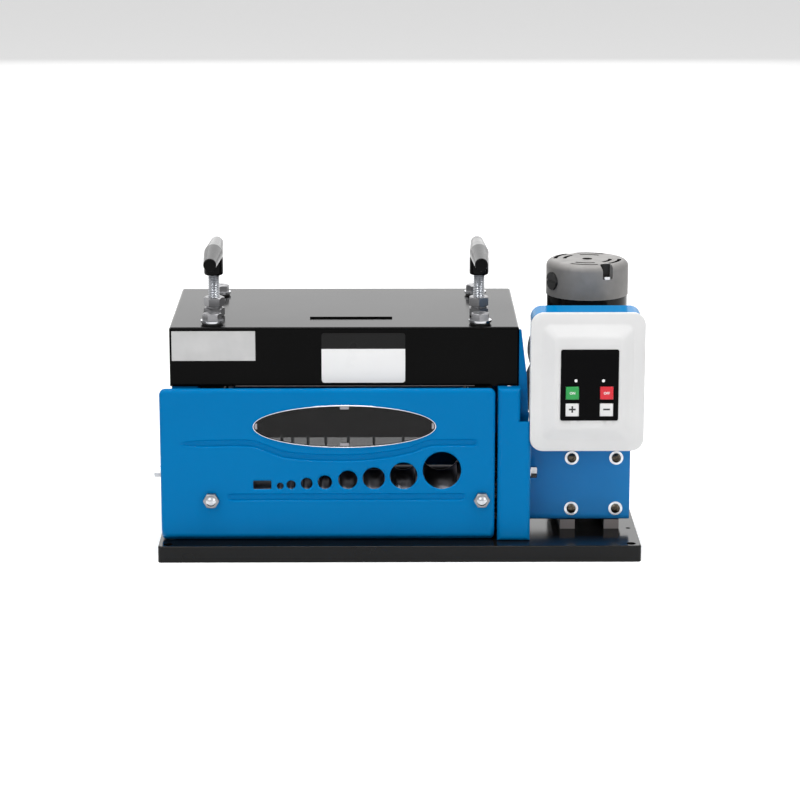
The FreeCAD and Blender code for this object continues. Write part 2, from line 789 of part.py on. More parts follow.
def make_feed():
    left_end = left_frame_x - frame_thickness / 2 - shaft_end
    inner_left = left_frame_x + frame_thickness / 2 + shoulder_gap
    inner_right = right_frame_x - frame_thickness / 2 - shoulder_gap
    right_end = gear_start + gear_width + shaft_end
    axis = V(0, shaft_y, feed_shaft_z)
    profile = [(left_end, 0), (left_end, journal_r), (inner_left, journal_r), (inner_left, feed_shaft_r),
               (inner_right, feed_shaft_r), (inner_right, journal_r), (right_end, journal_r), (right_end, 0)]
    save("feed_shaft", turned(profile, axis, X_DIR))
    first = openings[0][0] - openings[0][1] / 2 - roller_end
    last = openings[-1][0] + openings[-1][1] / 2 + roller_end
    between = [(x0 + w0 / 2 + x1 - w1 / 2) / 2 for (x0, w0), (x1, w1) in zip(openings, openings[1:])]
    rollers = []
    for (x, width), start, end, depth in zip(openings, [first] + between, between + [last], roller_depths):
        rim_r = roller_floor_r + depth
        length = end - start - roller_gap
        roller_start = axis + X_DIR * (start + roller_gap / 2)
        roller = tube(roller_start, X_DIR, length, rim_r, feed_shaft_r + running_gap)
        if x == slot_x:
            groove = tube(axis + X_DIR * (x - width / 2), X_DIR, width, rim_r + 1, roller_floor_r)
        else:
            groove_r = width / 2 + groove_clearance
            groove = Part.makeTorus(roller_floor_r + groove_r, groove_r, axis + X_DIR * x, X_DIR)
        rollers.append(roller.cut(groove))
    save("feed_rollers", *rollers)


def make_gears():
    mesh_angle = math.atan2(drive_z - feed_shaft_z, drive_y - shaft_y)
    gap_phase = mesh_angle + math.pi + math.pi / drive_gear_teeth
    make_gear("roller_gear", roller_gear_teeth, V(gear_start, shaft_y, feed_shaft_z), journal_r, mesh_angle)
    make_gear("drive_gear", drive_gear_teeth, V(gear_start, drive_y, drive_z), output_shaft_r, gap_phase)


def make_output():
    inner = right_frame_x + frame_thickness / 2 + shoulder_gap
    stub_start = right_frame_x - frame_thickness / 2 + output_stub_inset
    wheel_end = motor_x + wheel_width / 2 + output_tail
    profile = [(stub_start, 0), (stub_start, output_journal_r), (inner, output_journal_r),
               (inner, output_shaft_r), (wheel_end, output_shaft_r), (wheel_end, 0)]
    save("output_shaft", turned(profile, V(0, drive_y, drive_z), X_DIR))
    center = V(motor_x - wheel_width / 2, drive_y, drive_z)
    tip_r = drive_y - motor_y - worm_r - worm_gap
    root_r = tip_r - wheel_tooth_height
    pitch_r = (tip_r + root_r) / 2
    outline = gear_outline(wheel_teeth, tip_r, root_r, pitch_r, math.pi * pitch_r / wheel_teeth / 2)
    points = [center + V(0, r * math.cos(a), r * math.sin(a)) for r, a in outline]
    wheel_bore = rod(center - X_DIR, X_DIR, wheel_width + 2, output_shaft_r + running_gap)
    save("worm_wheel", extrude(points, X_DIR * wheel_width).cut(wheel_bore))


def make_gearbox():
    housing = rounded_box(gearbox_left, gearbox_right, gearbox_front, gearbox_back, bracket_bottom,
                          gearbox_top, gearbox_corner_r, upright_corners)
    plate_back = bracket_front + bracket_sheet
    pad_start = gearbox_front + gearbox_corner_r
    screw_places = [(x, z) for x in bracket_screw_x for z in bracket_screw_z]
    pads = [rod(V(x, pad_start, z), -Y_DIR, pad_start - plate_back, pad_r) for x, z in screw_places]
    feet = [box(x, x + foot_width, plate_back, foot_back, base_top, bracket_bottom) for x in foot_places]
    housing = housing.fuse(feet + pads)
    cuts = [box(motor_x - wheel_room, motor_x + wheel_room,
                gearbox_front + gearbox_wall, gearbox_back - gearbox_wall,
                bracket_bottom + gearbox_wall, gearbox_top - gearbox_wall)]
    shaft_hole = V(motor_x, motor_y, gearbox_top - gearbox_wall - 1)
    cuts.append(rod(shaft_hole, Z_DIR, gearbox_wall + 2, rotor_shaft_r + rotor_gap))
    bore_length = motor_x + wheel_room + gearbox_wall - gearbox_left
    bore_start = V(gearbox_left - 1, drive_y, drive_z)
    cuts.append(rod(bore_start, X_DIR, bore_length, output_shaft_r + running_gap))
    cuts += [rod(V(x, bracket_front, z), Y_DIR, bracket_screw_length, bracket_screw_r + running_gap)
             for x, z in screw_places]
    bolts = []
    for x in foot_places:
        seat = V(x + foot_width / 2, foot_bolt_y, bracket_bottom)
        bolt_end = seat - Z_DIR * foot_bolt_depth
        cuts.append(rod(bolt_end, Z_DIR, foot_bolt_depth + 1, foot_bolt_r + running_gap))
        head = hexagon(seat, Z_DIR, foot_bolt_flats, foot_bolt_head_height)
        bolts.append(head.fuse(rod(seat, -Z_DIR, foot_bolt_depth - seat_gap, foot_bolt_r)))
    for cut in cuts:
        housing = housing.cut(cut)
    save("gearbox_housing", housing.removeSplitter())
    save("gearbox_bolts", *bolts)


def make_cradle():
    """Casting that grips the motor above the gearbox: two round lobes on the left, square on the right."""
    depth = cradle_back - cradle_front
    lobes = [rod(V(x, cradle_front, z), Y_DIR, depth, radius) for x, z, radius in cradle_lobes]
    body = rounded_box(cradle_lobes[0][0], cradle_right, cradle_front, cradle_back, gearbox_top, cradle_top,
                       cradle_corner_r, ["right top", "right front", "right back"])
    body = body.fuse(lobes)
    body = body.common(box(0, cradle_right, cradle_front, cradle_back, gearbox_top, cradle_top))
    plate_back = bracket_front + bracket_sheet
    pad_length = cradle_front - plate_back
    body = body.fuse([rod(V(x, plate_back, z), Y_DIR, pad_length, cradle_pad_r) for x, z in cradle_pads])
    body = body.cut(rod(V(motor_x, motor_y, motor_bottom), Z_DIR, cap_top, motor_r + seat_gap))
    body = body.cut(rod(V(motor_x, motor_y, 0), Z_DIR, cap_top, rotor_shaft_r + shaft_hole_gap))
    save("motor_cradle", body.removeSplitter())


def make_motor():
    center = V(motor_x, motor_y, motor_bottom)
    height = cap_bottom - motor_bottom
    can = rod(center, Z_DIR, height, motor_r)
    can = can.cut(rod(center + Z_DIR * motor_wall, Z_DIR, height, motor_r - motor_wall))
    pole_span = height - 2 * pole_end_gap
    pole_ring = tube(center + Z_DIR * pole_end_gap, Z_DIR, pole_span, motor_r - motor_wall / 2,
                     rotor_r + pole_air_gap)
    pole_cut = box(motor_x - motor_r, motor_x + motor_r, motor_y - pole_half_gap, motor_y + pole_half_gap,
                   motor_bottom, cap_top)
    can = can.fuse(pole_ring.cut(pole_cut))
    can = can.cut(rod(center - Z_DIR, Z_DIR, motor_wall + 2, rotor_shaft_r + rotor_gap))
    save("motor_housing", can.removeSplitter())


def motor_side(angle, radius, z):
    """Place at an angle and a distance from the motor's axis, and the way outward there."""
    outward = V(math.cos(math.radians(angle)), math.sin(math.radians(angle)), 0)
    return V(motor_x, motor_y, z) + outward * radius, outward


def make_end_cap():
    height = cap_top - cap_bottom
    envelope = rod(V(motor_x, motor_y, cap_bottom), Z_DIR, height, cap_r)
    envelope = envelope.makeFillet(cap_edge_r, edges_at_height(envelope, cap_top))
    inside = rod(V(motor_x, motor_y, cap_bottom - 1), Z_DIR, height + 1 - cap_wall, cap_r - cap_wall)
    cap = envelope.cut(inside.makeFillet(cap_edge_r - cap_wall, edges_at_height(inside, cap_top - cap_wall)))
    holes = [rod(V(motor_x, motor_y, cap_top - 2 * cap_wall), Z_DIR, 3 * cap_wall, cap_hole_r)]
    for side in (0, 180):
        for offset in (-vent_offset, vent_offset):
            holes += [vent_slot(radius, notch_angle + side + offset) for radius in vent_radii]
        well, outward = motor_side(notch_angle + side, cap_r - cap_screw_inset, notch_floor)
        wall = rod(well - Z_DIR * notch_wall, Z_DIR, height, notch_r + notch_wall)
        holes.append(rod(well, Z_DIR, height, notch_r))
        holes.append(rod(well, -Z_DIR, cap_screw_length, cap_screw_r + running_gap))
        boss_start, outward = motor_side(brush_angle + side, brush_boss_start, brush_z)
        boss = rod(boss_start, outward, cap_r, brush_cap_r + cap_wall)
        cap = cap.fuse([wall.common(envelope), boss.common(envelope)])
        holes.append(rod(boss_start - outward, outward, cap_r, brush_r + running_gap))
        pocket, outward = motor_side(brush_angle + side, cap_r - brush_cap_depth, brush_z)
        holes.append(rod(pocket, outward, 2 * brush_cap_depth, brush_cap_r + seat_gap))
    for hole in holes:
        cap = cap.cut(hole)
    save("motor_end_cap", cap.removeSplitter())


def vent_slot(radius, angle):
    """Arc-shaped slot through the end cap's top."""
    low = V(motor_x, motor_y, cap_top - 2 * cap_wall)
    depth = 3 * cap_wall
    ring = tube(low, Z_DIR, depth, radius + vent_width / 2, radius - vent_width / 2)
    points = [low]
    for turn in (-vent_span / 2, 0, vent_span / 2):
        points.append(motor_side(angle + turn, 2 * cap_r, low.z)[0])
    return ring.common(extrude(points, Z_DIR * depth))


def make_brush_caps():
    """Slotted plugs in the end cap, each with its carbon brush on the commutator."""
    caps = []
    length = brush_cap_depth + brush_cap_proud
    brush_length = cap_r - brush_cap_depth - commutator_r - seat_gap
    for side in (0, 180):
        seat, outward = motor_side(brush_angle + side, cap_r - brush_cap_depth, brush_z)
        across = outward.cross(Z_DIR) * brush_cap_r
        rise = Z_DIR * (brush_slot_width / 2)
        slot_floor = seat + outward * (length - brush_slot_depth)
        corners = [slot_floor - across - rise, slot_floor + across - rise, slot_floor + across + rise,
                   slot_floor - across + rise]
        cap = rod(seat, outward, length, brush_cap_r).cut(extrude(corners, outward * length))
        caps.append(cap.fuse(rod(seat, -outward, brush_length, brush_r)))
    save("brush_caps", *caps)


def make_cap_screws():
    screws = []
    for side in (0, 180):
        place, outward = motor_side(notch_angle + side, cap_r - cap_screw_inset, notch_floor)
        head = rod(place, Z_DIR, cap_screw_head_height, cap_screw_head_r)
        slot_floor = notch_floor + cap_screw_head_height - cap_screw_slot
        slot = box(place.x - cap_screw_head_r, place.x + cap_screw_head_r, place.y - cap_screw_slot / 2,
                   place.y + cap_screw_slot / 2, slot_floor, slot_floor + 2 * cap_screw_slot)
        screws.append(head.cut(slot).fuse(rod(place, -Z_DIR, cap_screw_length - seat_gap, cap_screw_r)))
    save("end_cap_screws", *screws)


def make_rotor():
    bottom = bracket_bottom + gearbox_wall + worm_gap
    core_bottom = motor_bottom + pole_end_gap
    core_top = core_bottom + rotor_core_length
    commutator_top = commutator_z + commutator_length
    top = cap_top - cap_wall - worm_gap
    steps = [(bottom, worm_bottom, rotor_shaft_r), (worm_bottom, worm_top, worm_r),
             (worm_top, core_bottom, rotor_shaft_r), (core_bottom, core_top, rotor_r),
             (core_top, commutator_z, rotor_shaft_r), (commutator_z, commutator_top, commutator_r),
             (commutator_top, top, rotor_end_r)]
    profile = [(bottom, 0)]
    for low, high, radius in steps:
        profile += [(low, radius), (high, radius)]
    save("motor_rotor", turned(profile + [(top, 0)], V(motor_x, motor_y, 0), Z_DIR))


def make_bracket():
    back = bracket_front + bracket_side_depth
    lip_top = bracket_bottom + bracket_sheet
    bracket = rounded_box(bracket_left, bracket_right, bracket_front, back, bracket_bottom, bracket_top,
                          bracket_bend_r, ["front bottom"])
    inside = rounded_box(bracket_left + bracket_sheet, bracket_right - bracket_sheet,
                         bracket_front + bracket_sheet, back + 1, lip_top, bracket_top + 1,
                         bracket_bend_r - bracket_sheet, ["front bottom"])
    lip_clear = box(bracket_left - 1, bracket_right + 1, bracket_front + bracket_lip, back + 1,
                    bracket_bottom - 1, lip_top)
    bracket = bracket.cut(inside).cut(lip_clear)
    for x in bracket_screw_x:
        for z in bracket_screw_z:
            hole = rod(V(x, bracket_front - 1, z), Y_DIR, bracket_sheet + 2, bracket_screw_r + seat_gap)
            bracket = bracket.cut(hole)
    save("motor_bracket", bracket)


def make_bracket_screws():
    washers = []
    screws = []
    for x in bracket_screw_x:
        for z in bracket_screw_z:
            seat = V(x, bracket_front, z)
            washer_bore_r = bracket_screw_r + washer_gap
            washers.append(tube(seat, -Y_DIR, bracket_washer_height, bracket_washer_r, washer_bore_r))
            head_seat = seat - Y_DIR * bracket_washer_height
            dome = Part.makeSphere(bracket_dome_r, head_seat + Y_DIR * (bracket_dome_r - bracket_head_height))
            head = dome.common(rod(head_seat, -Y_DIR, bracket_head_height, bracket_head_r))
            socket_start = head_seat - Y_DIR * (bracket_head_height - socket_depth)
            head = head.cut(hexagon(socket_start, -Y_DIR, socket_flats, 2 * socket_depth))
            shank_length = bracket_washer_height + bracket_screw_length - seat_gap
            screws.append(head.fuse(rod(head_seat, Y_DIR, shank_length, bracket_screw_r)))
    save("bracket_washers", *washers)
    save("bracket_screws", *screws)


def rounded_slab(inset, y, depth, radius):
    """Rounded block as wide and as high as the control box, less an inset."""
    return rounded_box(box_left + inset, box_right - inset, y, y + depth, box_bottom + inset, box_top - inset,
                       radius, facing_corners)


def slab_outline(inset, y, radius):
    """Closed wire of a rounded rectangle parallel to the control box's front."""
    x0 = box_left + inset + radius
    x1 = box_right - inset - radius
    z0 = box_bottom + inset + radius
    z1 = box_top - inset - radius
    edges = []
    for x, z, start in ((x1, z1, 0), (x0, z1, 90), (x0, z0, 180), (x1, z0, 270)):
        angles = [math.radians(start + step) for step in (0, 45, 90)]
        arc = [V(x + radius * math.cos(a), y, z + radius * math.sin(a)) for a in angles]
        if edges:
            edges.append(Part.LineSegment(last, arc[0]).toShape())
        else:
            first = arc[0]
        edges.append(Part.Arc(*arc).toShape())
        last = arc[2]
    edges.append(Part.LineSegment(last, first).toShape())
    return Part.Wire(edges)


def cover_hump(inset, y_shift, start_shift):
    """Raised middle of the control box's cover: a loft from its foot to its flat top."""
    foot = slab_outline(cover_slope_inset + inset, box_front + start_shift, slope_corner_r)
    flat = slab_outline(cover_flat_inset + inset, box_front - cover_rise + y_shift, flat_corner_r)
    return Part.makeLoft([foot, flat], True, True)


def make_box_cover():
    cover = rounded_slab(0, box_front, cover_thickness, box_corner_r).fuse(cover_hump(0, 0, 0))
    cover = cover.cut(cover_hump(cover_thickness, cover_thickness, cover_thickness + 1))
    face = box_front - cover_rise
    for name, dx, z in button_places:
        cover = cover.cut(button_block(dx, z, button_gap, face - 1, face + cover_thickness + 1))
    for side in (-1, 1):
        cover = cover.cut(rod(V(keypad_x + side * lens_dx, face - 1, lens_z), Y_DIR, cover_thickness + 2,
                              lens_r + running_gap))
    save("control_box_cover", cover)


def button_block(dx, z, margin, y0, y1):
    half_width = button_width / 2 + margin
    half_height = button_height / 2 + margin
    return box(keypad_x + dx - half_width, keypad_x + dx + half_width, y0, y1,
               z - half_height, z + half_height)


def make_keypad():
    face = box_front - cover_rise
    pad = rounded_box(keypad_x - keypad_width / 2, keypad_x + keypad_width / 2, face - keypad_proud, face,
                      keypad_z - keypad_height / 2, keypad_z + keypad_height / 2, keypad_corner_r,
                      facing_corners)
    lenses = []
    for side in (-1, 1):
        start = V(keypad_x + side * lens_dx, face - keypad_proud - lens_proud, lens_z)
        pad = pad.cut(rod(start, Y_DIR, 2, lens_r + running_gap))
        lenses.append(rod(start, Y_DIR, board_y - start.y, lens_r))
    inner = face + cover_thickness
    button_front = face - keypad_proud - button_proud
    button_back = inner + button_tail
    for name, dx, z in button_places:
        pad = pad.cut(button_block(dx, z, button_gap, face - 1, face + 1))
        x = keypad_x + dx
        button = rounded_box(x - button_width / 2, x + button_width / 2, button_front, button_back,
                             z - button_height / 2, z + button_height / 2, button_corner_r, facing_corners)
        save(name, button.fuse(button_block(dx, z, button_flange, inner + seat_gap, button_back)))
    save("keypad", pad)
    save("led_lenses", *lenses)
    half_width = board_width / 2
    half_height = board_height / 2
    board = box(keypad_x - half_width, keypad_x + half_width, board_y, board_y + board_thickness,
                keypad_z - half_height, keypad_z + half_height)
    post_dx = half_width - post_inset
    post_dz = half_height - post_inset
    posts = [rod(V(keypad_x + dx, inner, keypad_z + dz), Y_DIR, board_y - inner, post_r)
             for dx in (-post_dx, post_dx) for dz in (-post_dz, post_dz)]
    save("circuit_board", board.fuse(posts))


def make_box_shell():
    front = box_front + cover_thickness
    radius = box_corner_r - shell_inset
    shell = rounded_slab(shell_inset, front, bracket_front - front, radius)
    inside = rounded_slab(shell_inset + sheet, front - 1, bracket_front - front + 1 - sheet, radius - sheet)
    shell = shell.cut(inside)
    gland_start = V(gland_x, bracket_front - sheet - 1, gland_z)
    gland_hole = rod(gland_start, Y_DIR, sheet + 2, gland_thread_r + seat_gap)
    save("control_box_shell", shell.cut(gland_hole))


def make_gland():
    seat = V(gland_x, bracket_front, gland_z)
    thread_end = seat - Y_DIR * gland_thread_length
    thread = rod(thread_end, Y_DIR, gland_thread_length + gland_nut_height, gland_thread_r)
    nut = hexagon(seat, Y_DIR, gland_flats, gland_nut_height)
    profile = [(gland_nut_height, 0), (gland_nut_height, gland_crown_r),
               (gland_length - gland_taper, gland_crown_r),
               (gland_length, gland_crown_r - gland_taper), (gland_length, 0)]
    gland = thread.fuse([nut, turned(profile, seat, Y_DIR)])
    bore_length = gland_length + gland_thread_length + 2
    save("cable_gland", gland.cut(rod(thread_end - Y_DIR, Y_DIR, bore_length, gland_mouth_r)))


def hood_front_plate(place):
    x0, x1, low, high = place
    return box(x0, x1, hood_front - plate_thickness, hood_front, hood_top - low, hood_top - high)


def make_name_plates():
    save("silver_plate", hood_front_plate(silver_plate))
    plate = hood_front_plate(white_plate)
    save("white_plate", plate.makeFillet(plate_corner_r, [e for e in plate.Edges if is_along(e, Y_DIR)]))
    x0, x1, y0, y1 = rating_plate
    save("rating_plate", box(x0, x1, y0, y1, hood_top, hood_top + rating_thickness))


def make_block(name, x, inward):
    """Blade shaft bearing that slides in a frame's window, with a T-slot for its screw's collar."""

    def slab(x0, x1, half_width, z0, z1):
        return box(min(x0, x1), max(x0, x1), shaft_y - half_width, shaft_y + half_width, z0, z1)

    low = blade_shaft_z - block_height / 2
    high = blade_shaft_z + block_height / 2
    half_width = block_width / 2
    outer_x = x - inward * frame_thickness / 2
    lip_x = x + inward * (frame_thickness / 2 + slide_gap)
    inner_x = lip_x + inward * block_lip
    block = slab(outer_x, inner_x, half_width, low, high)
    block = block.fuse(slab(lip_x, inner_x, half_width + block_lip_overlap, low, high))
    bore = rod(V(x - block_width, shaft_y, blade_shaft_z), X_DIR, 2 * block_width, journal_r + running_gap)
    collar_room = collar_r + seat_gap
    neck_room = screw_r + seat_gap
    slot_end = inner_x + inward
    slot_top = collar_z + collar_height + 2 * slide_gap
    collar_slot = slab(x - inward * collar_room, slot_end, collar_room, collar_z, slot_top)
    neck_slot = slab(x - inward * neck_room, slot_end, neck_room, collar_z, high + 1)
    save(name, block.cut(bore).cut(collar_slot).cut(neck_slot).removeSplitter())


def make_blade_shaft():
    left_face = left_frame_x - frame_thickness / 2
    right_face = right_frame_x + frame_thickness / 2
    axis = V(0, shaft_y, blade_shaft_z)
    profile = [(left_face - blade_shaft_end, 0), (left_face - blade_shaft_end, journal_r)]
    for start in (left_face - seat_gap - blade_ring_width, right_face + seat_gap):
        profile += [(start, journal_r), (start, blade_ring_r), (start + blade_ring_width, blade_ring_r),
                    (start + blade_ring_width, journal_r)]
    profile += [(right_face + blade_shaft_end, journal_r), (right_face + blade_shaft_end, 0)]
    save("blade_shaft", turned(profile, axis, X_DIR))
    half = blade_thickness / 2
    bore_r = journal_r + running_gap
    shoulder_r = blade_r - blade_bevel
    profile = [(-half, bore_r), (-half, shoulder_r), (0, blade_r), (half, shoulder_r), (half, bore_r)]
    save("blades", *[turned(profile, axis + X_DIR * x, X_DIR) for x, width in openings])
    lip_room = slide_gap + block_lip + seat_gap
    starts = [left_frame_x + frame_thickness / 2 + lip_room] + [x + half for x, width in openings]
    ends = [x - half for x, width in openings] + [right_frame_x - frame_thickness / 2 - lip_room]
    spacers = [tube(axis + X_DIR * a, X_DIR, b - a, spacer_r, bore_r) for a, b in zip(starts, ends)]
    save("blade_spacers", *spacers)


def make_handle(side, x):
    """Threaded rod with a collar at its foot, and the moulded T grip on its top."""
    foot = V(x, shaft_y, collar_z + slide_gap)
    length = grip_bar_z - foot.z
    screw = rod(foot, Z_DIR, length, screw_r)
    save(side + "_screw", screw.fuse(rod(foot, Z_DIR, collar_height, collar_r)))
    hub = rod(V(x, shaft_y, grip_bottom_z), Z_DIR, grip_bar_z - grip_bottom_z, grip_hub_r)
    half = grip_bar_length / 2
    tip_edge_r = grip_tip_r - grip_tip_round
    straight = half - grip_tip_round
    profile = [(-half, 0), (-half, tip_edge_r), (-straight, grip_tip_r), (0, grip_hub_r),
               (straight, grip_tip_r), (half, tip_edge_r), (half, 0)]
    grip = hub.fuse(turned(profile, V(x, shaft_y, grip_bar_z), Y_DIR))
    save(side + "_grip", grip.cut(rod(foot, Z_DIR, length + seat_gap, screw_r + running_gap)))


make_base()
make_frame("left_frame", left_frame_x)
make_frame("right_frame", right_frame_x)
make_bushes()
make_tie_bars()
make_hood()
make_hood_fasteners()
make_screw_nuts()
make_panels()
make_guard()
make_window()
make_guard_fasteners()
make_side_screws()
make_gear_cover()
make_side_plate()
make_feed()
make_gears()
make_output()
make_gearbox()
make_cradle()
make_motor()
make_end_cap()
make_brush_caps()
make_cap_screws()
make_rotor()
make_bracket()
make_bracket_screws()
make_box_cover()
make_keypad()
make_box_shell()
make_gland()
make_name_plates()
make_block("left_bearing_block", left_frame_x, 1)
make_block("right_bearing_block", right_frame_x, -1)
make_blade_shaft()
make_handle("left", left_frame_x)
make_handle("right", right_frame_x)
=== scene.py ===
import math
import bmesh
import bpy
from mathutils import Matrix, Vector
from mathutils.geometry import delaunay_2d_cdt


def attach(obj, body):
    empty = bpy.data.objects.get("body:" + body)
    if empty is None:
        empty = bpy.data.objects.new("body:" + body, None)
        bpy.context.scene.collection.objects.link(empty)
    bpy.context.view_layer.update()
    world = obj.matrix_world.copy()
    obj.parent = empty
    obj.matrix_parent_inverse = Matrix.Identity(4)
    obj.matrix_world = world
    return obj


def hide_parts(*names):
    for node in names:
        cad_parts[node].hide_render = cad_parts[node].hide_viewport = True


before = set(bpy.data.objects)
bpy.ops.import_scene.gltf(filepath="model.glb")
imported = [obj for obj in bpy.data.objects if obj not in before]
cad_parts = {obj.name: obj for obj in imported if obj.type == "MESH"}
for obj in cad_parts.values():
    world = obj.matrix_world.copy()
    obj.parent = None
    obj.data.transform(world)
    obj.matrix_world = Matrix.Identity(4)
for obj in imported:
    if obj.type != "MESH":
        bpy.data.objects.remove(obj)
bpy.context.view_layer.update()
mm = 0.001

# Camera: a 125 mm lens on a full-frame body, 2.8 m in front of the machine, a little above it and
# nearly square to its front. Its place is in mm and its two angles are in degrees.
camera_place = (-20.2, -2811.9, 815.5)
camera_pitch = 13.5
camera_yaw = 0.434
camera_data = bpy.data.cameras.new("Camera")
camera_data.sensor_width = 36.0
camera_data.lens = 124.65
camera = bpy.data.objects.new("Camera", camera_data)
camera.location = [c * mm for c in camera_place]
camera.rotation_euler = (math.radians(90 - camera_pitch), 0, math.radians(-camera_yaw))
bpy.context.scene.collection.objects.link(camera)
bpy.context.scene.camera = camera
bpy.context.scene.view_settings.view_transform = "Standard"


# Studio: matt paper on the floor, a pale room, four soft boxes and a strip light overhead. The
# camera, and metal and glass as mirrors, see the room as white. All else is lit by a grey room.
def linear(hex_colour):
    """Linear RGBA of an sRGB hex colour."""
    parts = [int(hex_colour[i:i + 2], 16) / 255 for i in (1, 3, 5)]
    return [p / 12.92 if p <= 0.04045 else ((p + 0.055) / 1.055) ** 2.4 for p in parts] + [1.0]


def add(tree, kind, values={}, links={}, **settings):
    """Adds a node with its settings, its sockets' values and the sockets that feed it."""
    made = tree.nodes.new(kind)
    for name, value in settings.items():
        setattr(made, name, value)
    for socket, value in values.items():
        made.inputs[socket].default_value = value
    for socket, source in links.items():
        tree.links.new(source, made.inputs[socket])
    return made


floor_size = 14.0
white = (1, 1, 1, 1)
room_light = 0.36
paper_white = "#f0f0f0"
paper_glow = 0.35
world = bpy.data.worlds.new("Room")
world.use_nodes = True
bpy.context.scene.world = world
world.node_tree.nodes.clear()


def seen_directly(tree):
    """1 where the camera sees this, straight or by way of metal or glass, and 0 elsewhere."""
    rays = add(tree, "ShaderNodeLightPath")
    mirrored = add(tree, "ShaderNodeMath", operation="MAXIMUM",
                   links={0: rays.outputs["Is Camera Ray"], 1: rays.outputs["Is Glossy Ray"]})
    return add(tree, "ShaderNodeMath", operation="MAXIMUM",
               links={0: mirrored.outputs[0], 1: rays.outputs["Is Transmission Ray"]}).outputs[0]


grey_room = add(world.node_tree, "ShaderNodeBackground", {"Color": white, "Strength": room_light})
white_room = add(world.node_tree, "ShaderNodeBackground", {"Color": white, "Strength": 1.0})
room_seen = seen_directly(world.node_tree)
room = add(world.node_tree, "ShaderNodeMixShader",
           links={0: room_seen, 1: grey_room.outputs[0], 2: white_room.outputs[0]})
add(world.node_tree, "ShaderNodeOutputWorld", links={"Surface": room.outputs[0]})

# Uncoated paper: no sheen at all, and a soft shadow where the base keeps the light off it.
paper = bpy.data.materials.new("matt_paper")
paper.use_nodes = True
paper_shader = paper.node_tree.nodes["Principled BSDF"]
paper_shader.inputs["Base Color"].default_value = linear(paper_white)
paper_shader.inputs["Roughness"].default_value = 0.9
paper_shader.inputs["Specular IOR Level"].default_value = 0.1
paper_shader.inputs["Emission Color"].default_value = white
paper_seen = add(paper.node_tree, "ShaderNodeMath", {1: paper_glow}, {0: seen_directly(paper.node_tree)},
                 operation="MULTIPLY")
paper.node_tree.links.new(paper_seen.outputs[0], paper_shader.inputs["Emission Strength"])
floor_mesh = bpy.data.meshes.new("Floor")
half_floor = floor_size / 2
floor_mesh.from_pydata([(-half_floor, -half_floor, 0), (half_floor, -half_floor, 0),
                        (half_floor, half_floor, 0), (-half_floor, half_floor, 0)], [], [(0, 1, 2, 3)])
floor_mesh.materials.append(paper)
floor = bpy.data.objects.new("Floor", floor_mesh)
bpy.context.scene.collection.objects.link(floor)

# Each soft box's name, its place, width and height in metres, and its power in watts.
lamp_aim = Vector((0, 0, 0.15))
soft_boxes = [("Key", (-1.2, -2.2, 1.8), 1.8, 1.8, 19.0), ("Fill", (1.9, -1.6, 1.1), 1.5, 1.5, 8.5),
              ("Strip", (0.0, -0.5, 2.4), 3.0, 0.2, 38.0), ("Top", (0.2, 0.9, 2.6), 2.0, 2.0, 32.0),
              ("Back", (0.0, 4.0, 1.3), 2.4, 2.4, 16.0)]
for name, place, width, height, watts in soft_boxes:
    lamp = bpy.data.lights.new(name, "AREA")
    lamp.shape = "RECTANGLE"
    lamp.size = width
    lamp.size_y = height
    lamp.energy = watts
    light = bpy.data.objects.new(name, lamp)
    light.location = place
    light.rotation_euler = (lamp_aim - Vector(place)).to_track_quat("-Z", "Y").to_euler()
    bpy.context.scene.collection.objects.link(light)


# Base: a thick steel plate, ground flat, drilled at its corners and sprayed with gloss black
# enamel. Everything else bolts down onto it.
def surface(name, colour, grain, relief, spread=0.05, second=None, wander=60.0, **shader):
    """Material with a fine relief: grain is its size in mm along X, Y and Z, relief its height in mm.
    spread is how far the roughness wanders, and second a colour that shows in patches."""
    made = bpy.data.materials.new(name)
    made.use_nodes = True
    tree = made.node_tree
    main = tree.nodes["Principled BSDF"]
    main.inputs["Base Color"].default_value = linear(colour)
    for socket, value in shader.items():
        main.inputs[socket.replace("_", " ")].default_value = value
    place = add(tree, "ShaderNodeTexCoord")
    sizes = add(tree, "ShaderNodeMapping", {"Scale": [1 / (g * mm) for g in grain]},
                {"Vector": place.outputs["Object"]})
    fine = add(tree, "ShaderNodeTexNoise", {"Scale": 1.0, "Detail": 2.0}, {"Vector": sizes.outputs[0]})
    bump = add(tree, "ShaderNodeBump", {"Distance": relief * mm}, {"Height": fine.outputs["Fac"]})
    tree.links.new(bump.outputs[0], main.inputs["Normal"])
    coarse = add(tree, "ShaderNodeTexNoise", {"Scale": 1 / (wander * mm), "Detail": 3.0},
                 {"Vector": place.outputs["Object"]})
    rough = main.inputs["Roughness"].default_value
    worn = add(tree, "ShaderNodeMapRange", {"From Min": 0.3, "From Max": 0.7, "To Min": rough - spread,
                                            "To Max": rough + spread}, {"Value": coarse.outputs["Fac"]})
    tree.links.new(worn.outputs[0], main.inputs["Roughness"])
    if second:
        patches = add(tree, "ShaderNodeMapRange", {"From Min": 0.35, "From Max": 0.65},
                      {"Value": coarse.outputs["Fac"]})
        mixed = add(tree, "ShaderNodeMix", {6: linear(colour), 7: linear(second)},
                    {0: patches.outputs[0]}, data_type="RGBA")
        tree.links.new(mixed.outputs[2], main.inputs["Base Color"])
    return made


def gloss_enamel(name, colour, second, specular):
    """Stoved enamel on steel: a deep gloss with faint orange peel, about 2 mm from crest to crest."""
    return surface(name, colour, (2.2, 2.2, 2.2), 0.004, 0.03, second, 90.0, Roughness=0.13,
                   Specular_IOR_Level=specular)


def dress(names, material):
    """Gives nodes whose shape is right their material."""
    for name in names:
        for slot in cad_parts[name].material_slots:
            slot.material = material


base_enamel = gloss_enamel("gloss_black_base_enamel", "#0f0f0f", "#131313", 0.18)
dress(["base_plate"], base_enamel)


